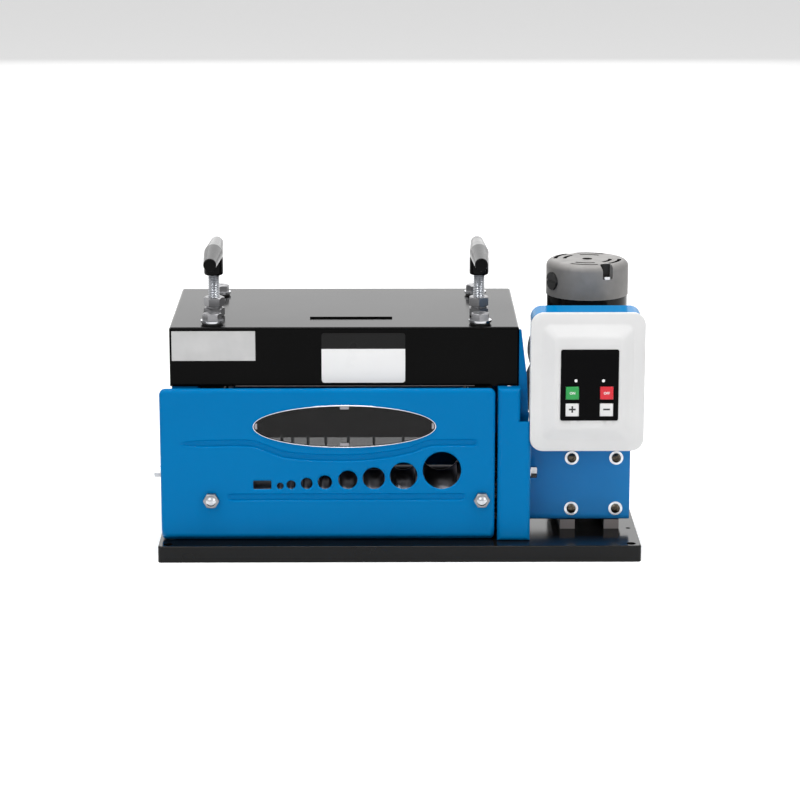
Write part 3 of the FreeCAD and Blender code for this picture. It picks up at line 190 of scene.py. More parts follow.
# Side frames and tie bars: two thick steel frames, milled square and painted black, and three
# steel bars, coated in black oxide, that hold them apart. Bronze bushes pressed into the frames
# carry the shafts, and two milled steel blocks slide in their windows with the blade shaft.
def bare_steel(name, colour, grain, rough, **shader):
    """Bare steel from the grinder or the lathe: fine parallel tool marks stretch each highlight."""
    return surface(name, colour, grain, 0.006, 0.06, None, 25.0, Metallic=1.0, Roughness=rough, **shader)


tool_mark = 0.7
along_mark = 300.0
# Sprayed satin paint: broad, dull highlights over a light texture.
frame_paint = surface("satin_black_paint", "#0a0a0a", (1.5, 1.5, 1.5), 0.01, 0.05, "#0d0d0d", 50.0,
                      Roughness=0.4, Specular_IOR_Level=0.25)
dress(["left_frame", "right_frame"], frame_paint)
# Black oxide and oil: nearly black, with a soft sheen along each bar.
black_oxide = bare_steel("black_oxide_steel", "#26262a", (tool_mark, along_mark, along_mark), 0.4)
dress(["tie_bars"], black_oxide)
# Turned bar: rings from the tool stretch each highlight along the shaft.
turned_steel = bare_steel("turned_steel", "#b4b4b8", (tool_mark, along_mark, along_mark), 0.3)
# Bronze powder, pressed and sintered: a fine grain and a soft yellow sheen.
sintered_bronze = surface("sintered_bronze", "#a87f45", (0.5, 0.5, 0.5), 0.01, 0.05, "#8c6a3a", 20.0,
                          Metallic=1.0, Roughness=0.42)
dress(["shaft_bushes", "worm_wheel"], sintered_bronze)
# Milled faces: fine lines along the cut, under a film of oil.
milled_steel = bare_steel("milled_steel", "#8f9094", (along_mark, tool_mark, along_mark), 0.36)
dress(["left_bearing_block", "right_bearing_block"], milled_steel)

# Feed shaft, rollers, blades and gears: rollers turned from bar, each with a round groove as wide
# as its cable, under hardened disc blades between plain spacers. The gears are cut steel, oiled.
dress(["feed_shaft", "output_shaft", "blade_shaft"], turned_steel)
# Turned and then worn by cable: darker than fresh steel, and dark where it is seen edge on.
roller_steel = bare_steel("turned_roller_steel", "#86868c", (tool_mark, along_mark, along_mark), 0.33,
                          Specular_Tint=(0.03, 0.03, 0.03, 1.0))
dress(["feed_rollers"], roller_steel)
# Hardened and ground: the brightest steel in the machine.
blade_steel = bare_steel("hardened_steel", "#c6c7ca", (along_mark, tool_mark, tool_mark), 0.2)
dress(["blades"], blade_steel)
# Plain turned spacers, left as the lathe and the oil leave them: dark and dull.
spacer_steel = bare_steel("spacer_steel", "#444042", (tool_mark, along_mark, along_mark), 0.5)
dress(["blade_spacers"], spacer_steel)
# Cut teeth under grease and oil: uneven grey with wet patches.
gear_steel = surface("oiled_gear_steel", "#5a5a5c", (0.8, 0.8, 0.8), 0.01, 0.08, "#4a4846", 12.0,
                     Metallic=1.0, Roughness=0.38)
dress(["roller_gear", "drive_gear"], gear_steel)

# Side, rear and gear side panels: folded from 1.5 to 2 mm steel and stoved in bright blue enamel.
# The left and rear ones are held to the frames' and hood's edges by small pan-head screws.
blue_paint = ("#0074b3", "#0076b5", 0.04)
blue_enamel = gloss_enamel("gloss_blue_enamel", *blue_paint)
dress(["left_side_panel", "rear_panel", "gear_side_plate", "gear_cover"], blue_enamel)
# Bright zinc plating: nearly a mirror, slightly cloudy from place to place.
bright_zinc = surface("bright_zinc", "#d2d4d7", (1.5, 1.5, 1.5), 0.004, 0.05, "#a9abb0", 9.0, Metallic=1.0,
                      Roughness=0.14)


def shaped(name, points, faces, material, body="frame", sharp=35.0):
    """A piece made from points and faces in mm, smooth but for its sharp edges, riding on its body."""
    mesh = bpy.data.meshes.new(name)
    mesh.from_pydata([[c * mm for c in p] for p in points], [], faces)
    mesh.validate()
    mesh.update()
    mesh.shade_smooth()
    mesh.set_sharp_from_angle(angle=math.radians(sharp))
    mesh.materials.append(material)
    made = bpy.data.objects.new(name, mesh)
    bpy.context.scene.collection.objects.link(made)
    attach(made, body)
    return made


def ring_quads(rows, count):
    """Faces between rows of points, each row of which closes on itself."""
    faces = []
    for row in range(rows - 1):
        for i in range(count):
            a = row * count + i
            b = row * count + (i + 1) % count
            faces.append((a, b, b + count, a + count))
    return faces


def lathe(profile, turns, place, axis):
    """Points and faces of (along, radius) pairs turned about an axis through place."""
    side = Vector((0, 0, 1)) if abs(axis.z) < 0.5 else Vector((1, 0, 0))
    other = axis.cross(side)
    points = []
    for along, radius in profile:
        for i in range(turns):
            angle = 2 * math.pi * i / turns
            points.append(place + axis * along + (side * math.cos(angle) + other * math.sin(angle)) * radius)
    ends = [tuple(range(turns))[::-1], tuple(range(len(points) - turns, len(points)))]
    return points, ends + ring_quads(len(profile), turns)


def merged(shapes):
    """Points and faces of several shapes as those of one."""
    points = []
    faces = []
    for more_points, more_faces in shapes:
        faces += [tuple(i + len(points) for i in face) for face in more_faces]
        points += more_points
    return points, faces


pan_head = [(0, 4.2), (1.0, 4.2), (1.9, 3.6), (2.4, 2.4), (2.45, 1.3), (1.5, 1.2), (1.5, 0.01)]
head_turns = 20
rear_face_y = 113.2
left_face_x = -230.1
rear_axis = Vector((0, 1, 0))
left_axis = Vector((-1, 0, 0))
heads = [lathe(pan_head, head_turns, Vector((x, rear_face_y, z)), rear_axis)
         for x in (-189.5, 81.7) for z in (40.0, 110.0, 196.0)]
heads += [lathe(pan_head, head_turns, Vector((left_face_x, y, z)), left_axis)
          for y in (-40.0, 70.0) for z in (60.0, 196.0)]
shaped("panel_screws", *merged(heads), bright_zinc)

# Hood: one sheet of 1.5 mm steel, folded down on all four sides and stoved gloss black. A thin grey
# rod along its front bottom edge is a painted highlight on the hem's round edge. A brushed plate and
# a printed one are stuck on its front, and a black one on its top.
hood_enamel = gloss_enamel("gloss_black_hood_enamel", "#050505", "#070707", 0.05)
dress(["hood"], hood_enamel)
# Painted highlight: a grey rod that stands for the thin line of light along the hem's round edge.
hem_highlight_grey = surface("grey_hem_painted_highlight", "#5c5858", (1.0, 1.0, 1.0), 0.02, 0.05, Roughness=0.45)
edging_start = Vector((-166.0, -87.6, 176.2))
edging_length = 242.0
edging_turns = 10
edging_profile = [(0, 0.1), (0.4, 0.6), (edging_length - 0.4, 0.6), (edging_length, 0.1)]
shaped("hood_hem_painted_highlight", *lathe(edging_profile, edging_turns, edging_start, Vector((1, 0, 0))), hem_highlight_grey)
# Brushed along its length: highlights spread upwards and the face looks milky.
brushed_plate = surface("brushed_aluminium", "#b6b6b6", (25.0, 0.4, 0.4), 0.006, 0.05, "#adadad", 30.0,
                        Metallic=0.85, Roughness=0.4)
dress(["silver_plate"], brushed_plate)
dress(["rating_plate"], hood_enamel)


def two_tone_print(name, upper, lower, edge_z):
    """Screen-printed plate: a dark band over a white field, with a hard edge at one height."""
    made = surface(name, lower, (0.8, 0.8, 0.8), 0.002, 0.03, Roughness=0.3, Specular_IOR_Level=0.15)
    tree = made.node_tree
    place = add(tree, "ShaderNodeTexCoord")
    parts = add(tree, "ShaderNodeSeparateXYZ", links={0: place.outputs["Object"]})
    above = add(tree, "ShaderNodeMath", {1: edge_z * mm}, {0: parts.outputs["Z"]}, operation="GREATER_THAN")
    mixed = add(tree, "ShaderNodeMix", {6: linear(lower), 7: linear(upper)}, {0: above.outputs[0]},
                data_type="RGBA")
    tree.links.new(mixed.outputs[2], tree.nodes["Principled BSDF"].inputs["Base Color"])
    return made


print_edge_z = 214.6
dress(["white_plate"], two_tone_print("printed_white_plate", "#151515", "#eeeeee", print_edge_z))

# Hood fasteners: zinc-plated steel bolts and nuts, each bolt on a plain washer over a rubber one,
# and under each T-screw a seat nut, a spring washer and a lock nut.
dress(["hood_washers", "guard_studs", "side_screws", "gearbox_bolts",
       "end_cap_screws", "bracket_washers"], bright_zinc)
# Older, duller zinc: a soft grey mirror.
nut_zinc = surface("dull_zinc", "#8e8e90", (0.8, 0.8, 0.8), 0.0005, 0.04, "#88888a", 20.0, Metallic=1.0,
                   Roughness=0.34)
dress(["screw_nuts", "hood_bolts", "guard_nuts"], nut_zinc)
# Punched from black sheet rubber: matt, with a slight grain.
washer_rubber = surface("black_rubber_washer", "#161616", (0.6, 0.6, 0.6), 0.02, 0.05, Roughness=0.6)
dress(["hood_seal_washers"], washer_rubber)

# T-screws: M12 studs with rolled threads, 1.75 mm from crest to crest, zinc plated, each ending in
# a collar that turns in its bearing block. The grip is black phenolic, moulded on and polished.
screw_places = {"left": -189.5, "right": 81.7}
shaft_y = -28.0
upright = Vector((0, 0, 1))
thread_pitch = 1.75
crest_r = 5.9
root_r = 5.05
thread_start = 150.0
thread_end = 280.5
stud_turns = 28
stud_profile = [(143.1, 3.0), (143.1, 8.6), (143.5, 9.0), (147.7, 9.0), (148.1, 8.6), (148.1, root_r),
                (298.0, root_r), (299.0, 4.0)]
grip_z = 301.0
grip_turns = 40
front_half = [(-65.0, 0.01), (-65.0, 5.6), (-64.7, 6.3), (-63.9, 6.6), (-32.0, 8.2)]
bar_profile = front_half + [(0.0, 9.8)] + [(-y, radius) for y, radius in reversed(front_half)]
hub_profile = [(279.3, 5.0), (279.3, 8.1), (279.8, 9.2), (280.9, 9.8), (296.0, 9.8), (302.0, 8.9),
               (303.0, 5.0)]
grip_voxel = 0.7
# Polished phenolic: deep black, with a smooth mirror of the room along its top.
phenolic = surface("polished_phenolic", "#080808", (1.2, 1.2, 1.2), 0.004, 0.04, "#0a0a0a", 20.0,
                   Roughness=0.16, Specular_IOR_Level=0.07)
# Zinc over rolled threads: each turn is light on its upper flank and dark on its lower one.
rolled_zinc = surface("rolled_zinc", "#b2b4b8", (1.2, 1.2, 1.2), 0.001, 0.04, "#aaacb0", 20.0, Metallic=1.0,
                      Roughness=0.32)


def thread(x, y):
    """Points and faces of a thread's two flanks, wound from thread_start up to thread_end."""
    steps = int((thread_end - thread_start) / thread_pitch * stud_turns)
    points = []
    for i in range(steps + 1):
        angle = 2 * math.pi * i / stud_turns
        z = thread_start + i * thread_pitch / stud_turns
        for rise, radius in ((-thread_pitch / 2, root_r), (0.0, crest_r), (thread_pitch / 2, root_r)):
            points.append((x + radius * math.cos(angle), y + radius * math.sin(angle), z + rise))
    faces = []
    for i in range(0, 3 * steps, 3):
        faces += [(i, i + 3, i + 4, i + 1), (i + 1, i + 4, i + 5, i + 2)]
    return points, faces


for side, x in screw_places.items():
    axis_foot = Vector((x, shaft_y, 0))
    stud = merged([lathe(stud_profile, stud_turns, axis_foot, upright), thread(x, shaft_y)])
    screw = shaped(side + "_threaded_stud", *stud, rolled_zinc, side + "_handle", sharp=60.0)
    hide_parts(side + "_screw")
    grip_shape = merged([lathe(bar_profile, grip_turns, Vector((x, shaft_y, grip_z)), Vector((0, 1, 0))),
                         lathe(hub_profile, grip_turns, axis_foot, upright)])
    grip = shaped(side + "_moulded_grip", *grip_shape, phenolic, side + "_handle", sharp=180.0)
    melt = grip.modifiers.new("One moulding", "REMESH")
    melt.mode = "VOXEL"
    melt.voxel_size = grip_voxel * mm
    melt.use_smooth_shade = True
    soften = grip.modifiers.new("Moulded corners", "SMOOTH")
    soften.iterations = 4
    soften.factor = 0.5
    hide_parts(side + "_grip")


# Guard: a folded tray of 1.5 mm steel with a row of punched cable openings, an oval window and two
# stiffening grooves pressed in, stoved blue like the panels. It is held on two studs by nuts.
def rounded_loop(x0, x1, z0, z1, low_r, high_r, corner_steps=6, edge_steps=24):
    """Points (x, z) round a rectangle with rounded corners, the same number whatever its size."""
    loop = []
    corners = [(x1 - low_r, z0 + low_r, low_r, -90), (x1 - high_r, z1 - high_r, high_r, 0),
               (x0 + high_r, z1 - high_r, high_r, 90), (x0 + low_r, z0 + low_r, low_r, 180)]
    for k, (x, z, radius, start) in enumerate(corners):
        for i in range(corner_steps + 1):
            angle = math.radians(start + 90 * i / corner_steps)
            loop.append((x + radius * math.cos(angle), z + radius * math.sin(angle)))
        ahead = corners[(k + 1) % 4]
        begin = math.radians(ahead[3])
        target = (ahead[0] + ahead[2] * math.cos(begin), ahead[1] + ahead[2] * math.sin(begin))
        last = loop[-1]
        for i in range(1, edge_steps):
            share = i / edge_steps
            loop.append((last[0] + (target[0] - last[0]) * share, last[1] + (target[1] - last[1]) * share))
    return loop


def hole_loop(x, z, half_width, half_height, power, steps):
    """Points round an opening: power 2 is an ellipse, and a high power nears a rectangle."""
    loop = []
    for i in range(steps):
        angle = 2 * math.pi * i / steps
        c, s = math.cos(angle), math.sin(angle)
        loop.append((x + half_width * math.copysign(abs(c) ** (2 / power), c),
                     z + half_height * math.copysign(abs(s) ** (2 / power), s)))
    return loop


def in_hole(px, pz, hole, margin=0.0):
    """Whether a point lies in an opening, or within a margin round it."""
    x, z, half_width, half_height, power = hole[:5]
    across = abs((px - x) / (half_width + margin))
    upward = abs((pz - z) / (half_height + margin))
    return across ** power + upward ** power < 1


hole_margin = 0.5
corner_clear = 3.0


def pierced_field(outline, holes, step_x, step_z, tracks):
    """Triangles that fill a flat outline but for its openings, with points along the tracks and on a
    grid between them."""
    points = [Vector(p) for p in outline]
    edges = [(i, (i + 1) % len(outline)) for i in range(len(outline))]
    for hole in holes:
        loop = hole_loop(*hole)
        edges += [(len(points) + i, len(points) + (i + 1) % len(loop)) for i in range(len(loop))]
        points += [Vector(p) for p in loop]
    points += [Vector(p) for p in tracks]
    taken = {(round(x / step_x), round(z / step_z)) for x, z in tracks}
    xs = [p[0] for p in outline]
    zs = [p[1] for p in outline]
    rows = int((max(zs) - min(zs)) / step_z)
    columns = int((max(xs) - min(xs)) / step_x)
    for row in range(1, rows):
        z = min(zs) + (max(zs) - min(zs)) * row / rows
        for column in range(1, columns):
            x = min(xs) + (max(xs) - min(xs)) * (column + 0.5 * (row % 2)) / (columns + 0.5)
            from_corner = min(x - min(xs), max(xs) - x) + min(z - min(zs), max(zs) - z)
            free = (round(x / step_x), round(z / step_z)) not in taken
            pierced = any(in_hole(x, z, hole, hole_margin) for hole in holes)
            if from_corner > corner_clear and free and not pierced:
                points.append(Vector((x, z)))
    found, _, faces, _, _, _ = delaunay_2d_cdt(points, edges, [], 0, 1e-6)
    kept = []
    for face in faces:
        x = sum(found[i][0] for i in face) / 3
        z = sum(found[i][1] for i in face) / 3
        if not any(in_hole(x, z, hole) for hole in holes):
            kept.append(tuple(face))
    return [(p[0], p[1]) for p in found], kept


def pressed_cover(name, rings, field_y, holes, steps, tracks, dents, material, thickness, sharp=35.0):
    """Sheet or moulded cover: rings of points from its back edge to its front field, then the field."""
    points = [p for ring in rings for p in ring]
    faces = ring_quads(len(rings), len(rings[0]))
    outline = [(x, z) for x, _, z in rings[-1]]
    field, triangles = pierced_field(outline, holes, *steps, tracks)
    base = len(points)
    points += [(x, field_y + dents(x, z), z) for x, z in field]
    faces += [tuple(base + i for i in face) for face in triangles]
    cover = shaped(name, points, faces, material, "frame", sharp)
    tidy = bmesh.new()
    tidy.from_mesh(cover.data)
    bmesh.ops.remove_doubles(tidy, verts=tidy.verts, dist=1e-6)
    bmesh.ops.recalc_face_normals(tidy, faces=tidy.faces)
    front = max(tidy.faces, key=lambda face: face.calc_area())
    if front.normal.y > 0:
        bmesh.ops.reverse_faces(tidy, faces=tidy.faces)
    tidy.to_mesh(cover.data)
    tidy.free()
    wall = cover.modifiers.new("Wall", "SOLIDIFY")
    wall.thickness = thickness * mm
    wall.offset = -1.0
    return cover


guard_left = -242.3
guard_right = 96.4
guard_low = 17.2
guard_high = 176.0
guard_front = -102.0
bend_depth = 4.0
low_bend_depth = 9.0
side_bend = 4.0
low_bend = 5.6
bend_steps = 6
back_edge_gap = 0.5
low_corner_r = 5.0
low_corner_shrink = 0.95
high_corner_r = 6.5
cable_holes = [(-121.1, 7.0), (-110.0, 9.4), (-94.2, 12.0), (-75.8, 14.6), (-52.5, 19.6), (-26.2, 22.8),
               (4.0, 28.0), (42.8, 39.0)]
cable_floor_z = 72.0
window_x = -55.7
window_z = 137.5
window_half = (92.0, 21.5)
stud_hole = (5.3, 5.3, 2, 24)
# Each opening's middle, its half width and height, its power and its number of points.
guard_holes = [(x, cable_floor_z + d / 2, d / 2, d / 2, 2, 24 + int(d)) for x, d in cable_holes]
guard_holes += [(-139.2, 76.6, 9.2, 4.6, 12, 40), (-191.1, 61.0, *stud_hole), (83.3, 61.0, *stud_hole),
                (window_x, window_z, *window_half, 2, 120)]
# The grooves: where the upper one's middle runs, then each one's two ends and how far it fades in
# from them.
groove_knots = [(-240.0, 119.7), (-200.0, 119.7), (-150.0, 119.7), (-133.0, 114.2), (-116.7, 108.4),
                (-88.5, 105.4), (-53.0, 104.7), (-19.8, 106.9), (10.5, 112.6), (29.0, 119.6), (36.0, 120.3),
                (60.0, 120.3), (90.0, 120.3)]
upper_groove = (-222.0, 78.0, 30.0, 3.6)
lower_groove = (-174.0, 66.0, 3.6, 3.6)
lower_groove_z = 63.6
groove_half = 4.2
groove_depth = 2.2
groove_flank = 0.42
least_share = 0.02
# Rows of points across a groove, as shares of its half width there, and their spacing along it.
track_rows = [1.25, 1.0, 0.9, 0.8, 0.7, 0.6, 0.45, 0.0]
track_step = 1.8
track_share = 0.2
# The folded edges: how far the top and bottom ones reach back, and where the side ones end.
top_fold = 5.0
low_fold = 12.0
left_fold_y = -62.0
right_fold_y = -88.3
top_fold_height = 10.0
low_fold_height = 1.0


def groove_line(x):
    """Height and slope of the upper groove's middle at x: a smooth curve through its knots."""
    for k in range(1, len(groove_knots) - 2):
        (xa, za), (xb, zb) = groove_knots[k], groove_knots[k + 1]
        if x <= xb:
            break
    before, after = groove_knots[k - 1], groove_knots[k + 2]
    slope_a = (zb - before[1]) / (xb - before[0]) * (xb - xa)
    slope_b = (after[1] - za) / (after[0] - xa) * (xb - xa)
    t = min(max((x - xa) / (xb - xa), 0.0), 1.0)
    z = (za * (1 + 2 * t) * (1 - t) ** 2 + slope_a * t * (1 - t) ** 2 + zb * t * t * (3 - 2 * t)
         - slope_b * t * t * (1 - t))
    return z, (zb - za) / (xb - xa)


def groove_share(x, groove):
    """Width of a groove at x as a share of its full width: it fades out towards both its ends."""
    left, right, left_run, right_run = groove
    if not left < x < right:
        return 0.0
    ends = [1 - min(1.0, (x - left) / left_run), 1 - min(1.0, (right - x) / right_run)]
    return math.sqrt((1 - ends[0] ** 2) * (1 - ends[1] ** 2))


def guard_dents(x, z):
    """How deep the guard is pressed in: each groove has a flat bottom between two rounded flanks."""
    dent = 0.0
    for groove, (middle, slope) in ((upper_groove, groove_line(x)), (lower_groove, (lower_groove_z, 0.0))):
        share = groove_share(x, groove)
        if share > least_share:
            away = abs(z - middle) / math.hypot(1, slope) / (groove_half * share)
            rise = min(max((1 - away) / groove_flank, 0.0), 1.0)
            dent += groove_depth * share * rise * rise * (3 - 2 * rise)
    return dent


def groove_tracks():
    """Points in rows along the grooves, close together across their flanks."""
    tracks = []
    for groove in (upper_groove, lower_groove):
        count = int((groove[1] - groove[0]) / track_step)
        for i in range(1, count):
            x = groove[0] + (groove[1] - groove[0]) * i / count
            middle, slope = groove_line(x) if groove is upper_groove else (lower_groove_z, 0.0)
            reach = groove_half * max(groove_share(x, groove), track_share) * math.hypot(1, slope)
            for row in track_rows:
                tracks += [(x, middle + reach * row), (x, middle - reach * row)] if row else [(x, middle)]
    return tracks


def flange_depth(x, z):
    """How far back the guard's edge is folded at each point of its outline."""
    if z > guard_high - top_fold_height:
        return guard_front + top_fold
    if z < guard_low + low_fold_height:
        return guard_front + low_fold
    return left_fold_y if x < 0 else right_fold_y


def bend_depths(z):
    """Depth of the guard's bends at a height: a quarter round, and towards the bottom a flat bevel."""
    low = min(max((guard_low + 2 * low_bend - z) / low_bend, 0.0), 1.0)
    return bend_depth * (1 - low), low_bend_depth * low


outer = rounded_loop(guard_left, guard_right, guard_low, guard_high, low_corner_r, high_corner_r)
guard_rings = [[(x, flange_depth(x, z), z) for x, z in outer],
               [(x, guard_front + sum(bend_depths(z)) + back_edge_gap, z) for x, z in outer]]
for step in range(bend_steps + 1):
    angle = math.pi / 2 * (1 - step / bend_steps)
    side_inset = side_bend * (1 - math.sin(angle))
    low_inset = low_bend * step / bend_steps
    loop = rounded_loop(guard_left + side_inset, guard_right - side_inset, guard_low + low_inset,
                        guard_high - side_inset, low_corner_r - side_inset * low_corner_shrink,
                        high_corner_r - side_inset)
    ring = []
    for x, z in loop:
        round_depth, bevel_depth = bend_depths(z)
        back = round_depth * (1 - math.cos(angle)) + bevel_depth * (1 - step / bend_steps)
        ring.append((x, guard_front + back, z))
    guard_rings.append(ring)
guard_grid = (2.6, 2.6)
guard_sheet = 1.5
guard = pressed_cover("pressed_guard", guard_rings, guard_front, guard_holes, guard_grid, groove_tracks(),
                      guard_dents, blue_enamel, guard_sheet)
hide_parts("guard")

# Window: a smoked polycarbonate pane held behind the guard's oval by a thin drawn aluminium rim
# and four small steel clips.
rim_section = [(0.7, -100.6), (0.7, -102.2), (0.3, -102.75), (-0.2, -102.75), (-0.5, -102.3), (-0.5, -100.6)]
rim_steps = 160
# Smoked polycarbonate: smooth and dark, with a little of the inside showing through.
smoked_pane = surface("smoked_polycarbonate", "#121111", (4.0, 4.0, 4.0), 0.002, 0.01, Roughness=0.03,
                      Alpha=0.7, Specular_IOR_Level=0.23)
dress(["window_pane"], smoked_pane)
# Drawn and polished: a thin bright line round the window.
drawn_aluminium = surface("drawn_aluminium", "#e2e3e6", (0.8, 0.8, 0.8), 0.004, 0.04, Metallic=1.0,
                          Roughness=0.18)
points = []
faces = []
for i in range(rim_steps):
    angle = 2 * math.pi * i / rim_steps
    for out, y in rim_section:
        points.append((window_x + (window_half[0] + out) * math.cos(angle), y,
                       window_z + (window_half[1] + out) * math.sin(angle)))
for i in range(rim_steps):
    for k in range(len(rim_section)):
        a = i * len(rim_section) + k
        b = i * len(rim_section) + (k + 1) % len(rim_section)
        c = (i + 1) % rim_steps * len(rim_section)
        faces.append((a, b, c + (k + 1) % len(rim_section), c + k))
rim = shaped("drawn_window_rim", points, faces, drawn_aluminium)
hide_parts("window_rim")
# Bent from spring strip: plain grey steel.
clip_steel = surface("spring_steel_clip", "#8a888c", (0.8, 0.8, 0.8), 0.006, 0.06, Metallic=1.0,
                     Roughness=0.3)
dress(["window_clips"], clip_steel)


# Gearbox and motor: cast housings in satin black, a gloss black motor can, an aluminium end cap,
# shot blasted and lacquered grey, and black moulded brush caps. A blue steel bracket fronts them.
def painted_within(made, colour, inside):
    """Gives a material another colour where inside, made from its object-space place, is 1."""
    tree = made.node_tree
    base = tree.nodes["Principled BSDF"].inputs["Base Color"]
    place = add(tree, "ShaderNodeTexCoord")
    mixed = add(tree, "ShaderNodeMix", {7: linear(colour)},
                {0: inside(tree, place.outputs["Object"]), 6: base.links[0].from_socket}, data_type="RGBA")
    tree.links.new(mixed.outputs[2], base)
    return made


foot_front_y = -57.3


def milled_fronts(tree, place):
    """The front ends of the gearbox's two feet, left bare by the mill."""
    parts = add(tree, "ShaderNodeSeparateXYZ", links={0: place})
    return add(tree, "ShaderNodeMath", {1: foot_front_y * mm}, {0: parts.outputs["Y"]},
               operation="LESS_THAN").outputs[0]


# Paint on a rough casting: it hides the grain but keeps it dull.
cast_finish = ("#0b0b0b", (1.8, 1.8, 1.8), 0.05, 0.06, "#0e0e0e", 30.0)
cast_paint = surface("satin_black_casting", *cast_finish, Roughness=0.5, Specular_IOR_Level=0.12)
dress(["motor_cradle"], cast_paint)
gearbox_paint = surface("satin_black_gearbox", *cast_finish, Roughness=0.5, Specular_IOR_Level=0.12)
dress(["gearbox_housing"], painted_within(gearbox_paint, "#8a8482", milled_fronts))
dress(["motor_housing"], base_enamel)
# Blasted aluminium under grey lacquer: an even, pearly grey with a fine grain.
blasted_lacquer = surface("blasted_grey_lacquer", "#848280", (0.7, 0.7, 0.7), 0.02, 0.04, "#7c7a78", 14.0,
                          Metallic=0.2, Roughness=0.5)
motor_axis = (194.9, 6.0, 0)
vent_shade_reach = 36.5
vent_shade_top_z = 288.7


def vent_painted_shade(tree, place):
    """The vents' walls and the room under them, darkened as painted shade where little light reaches."""
    from_axis = add(tree, "ShaderNodeVectorMath", {1: [c * mm for c in motor_axis]}, {0: place},
                    operation="SUBTRACT")
    level = add(tree, "ShaderNodeVectorMath", {1: (1, 1, 0)}, {0: from_axis.outputs[0]}, operation="MULTIPLY")
    away = add(tree, "ShaderNodeVectorMath", links={0: level.outputs[0]}, operation="LENGTH")
    near = add(tree, "ShaderNodeMath", {1: vent_shade_reach * mm}, {0: away.outputs["Value"]},
               operation="LESS_THAN")
    parts = add(tree, "ShaderNodeSeparateXYZ", links={0: place})
    low = add(tree, "ShaderNodeMath", {1: vent_shade_top_z * mm}, {0: parts.outputs["Z"]}, operation="LESS_THAN")
    return add(tree, "ShaderNodeMath", links={0: near.outputs[0], 1: low.outputs[0]},
               operation="MINIMUM").outputs[0]


# Painted shade: the cap's vents and the room under them are coloured near black.
dress(["motor_end_cap"], painted_within(blasted_lacquer, "#080808", vent_painted_shade))
# Moulded nylon: a dull black with the mould's light texture.
black_nylon = surface("moulded_black_nylon", "#101010", (0.5, 0.5, 0.5), 0.012, 0.05, Roughness=0.4)
dress(["brush_caps", "cable_gland"], black_nylon)
# Enamelled copper wire: rows of fine turns with a warm sheen.
wound_copper = surface("wound_copper", "#7a4a2a", (along_mark, along_mark, 0.9), 0.2, 0.05, "#5a5552", 10.0,
                       Metallic=1.0, Roughness=0.4)
dress(["motor_rotor"], wound_copper)
# Painted light: a lighter blue than the other enamel, to lift the bracket where the control box shades it.
bracket_painted_light_enamel = gloss_enamel("gloss_bracket_enamel", "#237fc2", "#207cbe", 0.1)
dress(["motor_bracket"], bracket_painted_light_enamel)
# Blackened screws, rubbed bare in places by the driver.
blackened_steel = surface("blackened_steel", "#5b5449", (0.6, 0.6, 0.6), 0.008, 0.06, "#3a3631", 5.0,
                          Metallic=1.0, Roughness=0.25)
dress(["bracket_screws"], blackened_steel)

# Control box: a blue steel shell with a moulded white cover, a printed film keypad with four keys
# and two pilot lamps, and the controller's board inside.
shell_enamel = gloss_enamel("gloss_shell_enamel", "#0078b3", "#007ab5", 0.015)
dress(["control_box_shell"], shell_enamel)
# Moulded ABS: white and half gloss, so that its slopes part softly from its flats.
white_abs = surface("moulded_white_abs", "#dfdfdf", (0.5, 0.5, 0.5), 0.006, 0.04, "#dcdcdc", 40.0,
                    Roughness=0.34)
cover_x = (131.4, 246.3)
cover_z = (111.8, 254.6)
cover_front = -111.0
cover_grid = (9.0, 9.0)
cover_wall = 2.4
# Each step of the cover's edge: how far in it lies, its depth and its corners' radius.
cover_section = [(0.0, -101.5, 13.0), (0.0, -103.1, 13.0), (0.3, -103.75, 12.8), (0.95, -104.0, 12.4),
                 (10.6, -104.0, 9.0), (12.0, -104.2, 8.4), (13.2, -104.75, 8.0), (22.4, -110.0, 5.8),
                 (23.8, -110.65, 5.4), (25.4, -110.95, 5.0), (27.0, cover_front, 4.4)]
cover_rings = []
for inset, y, radius in cover_section:
    loop = rounded_loop(cover_x[0] + inset, cover_x[1] - inset, cover_z[0] + inset, cover_z[1] - inset,
                        radius, radius, corner_steps=8, edge_steps=6)
    cover_rings.append([(x, y, z) for x, z in loop])
key_places = {"on_button": (173.1, 174.0), "off_button": (207.5, 174.0), "speed_up_button": (173.1, 156.7),
              "speed_down_button": (207.5, 156.7)}
key_hole = (6.9, 6.8, 14, 56)
lens_hole = (186.7, 1.6, 1.6, 2, 24)
cover_holes = [(x, z, *key_hole) for x, z in key_places.values()]
cover_holes += [(x, *lens_hole) for x in (176.5, 204.1)]
cover = pressed_cover("moulded_cover", cover_rings, cover_front, cover_holes, cover_grid, [],
                      lambda x, z: 0.0, white_abs, cover_wall, sharp=60.0)
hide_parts("control_box_cover")
# Printed polyester film: black behind a satin face.
printed_film = surface("printed_black_film", "#060607", (0.9, 0.9, 0.9), 0.003, 0.04, Roughness=0.3,
                       Specular_IOR_Level=0.04)
dress(["keypad"], printed_film)
# Solder lacquer over copper tracks: a glossy green.
board_lacquer = surface("circuit_board_lacquer", "#1d5a35", (3.0, 3.0, 3.0), 0.05, 0.05, Roughness=0.35)
dress(["circuit_board"], board_lacquer)
# Frosted lenses over unlit lamps: plain white dots.
pilot_lens = surface("frosted_pilot_lens", "#f4f4f4", (0.4, 0.4, 0.4), 0.004, 0.03, Roughness=0.3)
dress(["led_lenses"], pilot_lens)

key_section = [(0.0, -106.8), (0.0, -112.2), (0.15, -112.65), (0.5, -112.92), (1.2, -113.0)]
key_half = (6.6, 6.5)
key_corner_r = 1.3
flange_half = (8.1, 8.0)
flange_depths = (-105.5, -107.0)
print_y = -113.03
print_height = 0.06
letter_swell = 0.08
sign_swell = 0.3
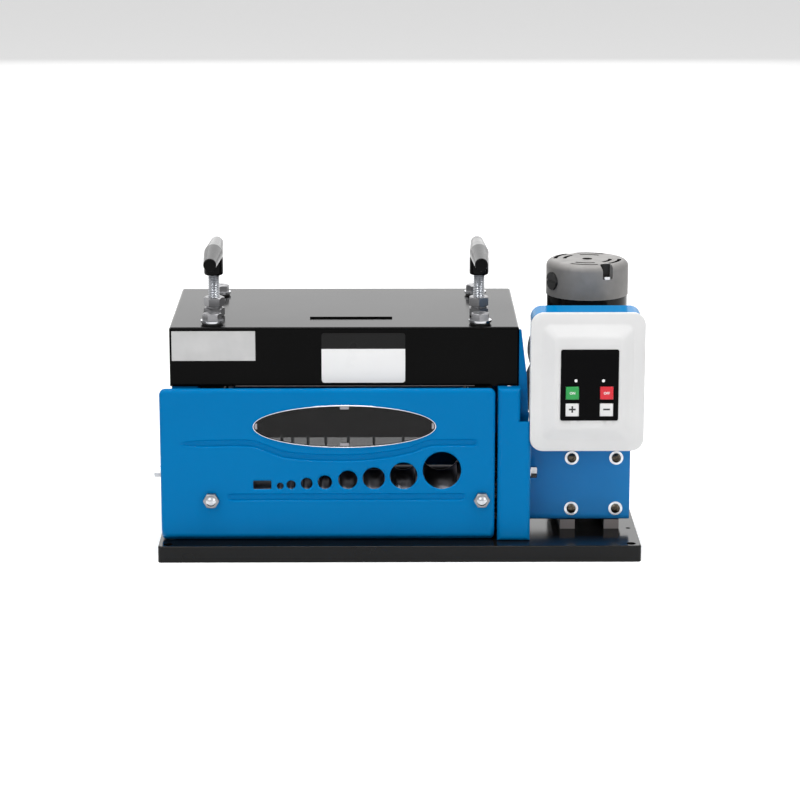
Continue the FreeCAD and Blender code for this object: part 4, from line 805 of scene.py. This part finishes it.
# Each key's print, its plastic's colour and the print's size.
key_print = {"on_button": ("ON", "#2f9d50", 3.6), "off_button": ("OFF", "#d92f3c", 3.5),
             "speed_up_button": ("+", "#e4e4e4", 13.0), "speed_down_button": ("−", "#e4e4e4", 13.0)}
# Pad-printed ink: flat colour with no sheen of its own.
print_white = surface("white_key_print", "#f2f2f2", (0.4, 0.4, 0.4), 0.002, 0.03, Roughness=0.4)
print_dark = surface("dark_key_print", "#202020", (0.4, 0.4, 0.4), 0.002, 0.03, Roughness=0.4)


def stacked(loops):
    """Points and faces of a solid drawn over loops from its back to its front, closed at both ends."""
    points = [p for loop in loops for p in loop]
    count = len(loops[0])
    front = tuple(range(len(points) - count, len(points)))
    return points, ring_quads(len(loops), count) + [front, tuple(range(count))[::-1]]


def key_loop(x, z, half_width, half_height, y):
    """Points round a key at one depth."""
    loop = rounded_loop(x - half_width, x + half_width, z - half_height, z + half_height, key_corner_r,
                        key_corner_r, corner_steps=4, edge_steps=1)
    return [(px, y, pz) for px, pz in loop]


for name, (x, z) in key_places.items():
    words, colour, size = key_print[name]
    # Moulded in its own colour: half gloss, with a smooth face.
    key_plastic = surface(name + "_plastic", colour, (0.4, 0.4, 0.4), 0.003, 0.03, Roughness=0.32,
                          Specular_IOR_Level=0.3)
    cap = stacked([key_loop(x, z, key_half[0] - inset, key_half[1] - inset, y) for inset, y in key_section])
    flange = stacked([key_loop(x, z, *flange_half, y) for y in flange_depths])
    key = shaped("moulded_" + name, *merged([cap, flange]), key_plastic, name + "_key", sharp=50.0)
    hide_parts(name)
    lettering = bpy.data.curves.new(name + "_print", "FONT")
    lettering.body = words
    lettering.size = size * mm
    lettering.align_x = "CENTER"
    lettering.align_y = "CENTER"
    lettering.extrude = print_height * mm
    lettering.offset = (letter_swell if len(words) > 1 else sign_swell) * mm
    lettering.materials.append(print_white if len(words) > 1 else print_dark)
    label = bpy.data.objects.new(name + "_print", lettering)
    label.location = (x * mm, print_y * mm, z * mm)
    label.rotation_euler = (math.radians(90), 0, 0)
    bpy.context.scene.collection.objects.link(label)
    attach(label, name + "_key")
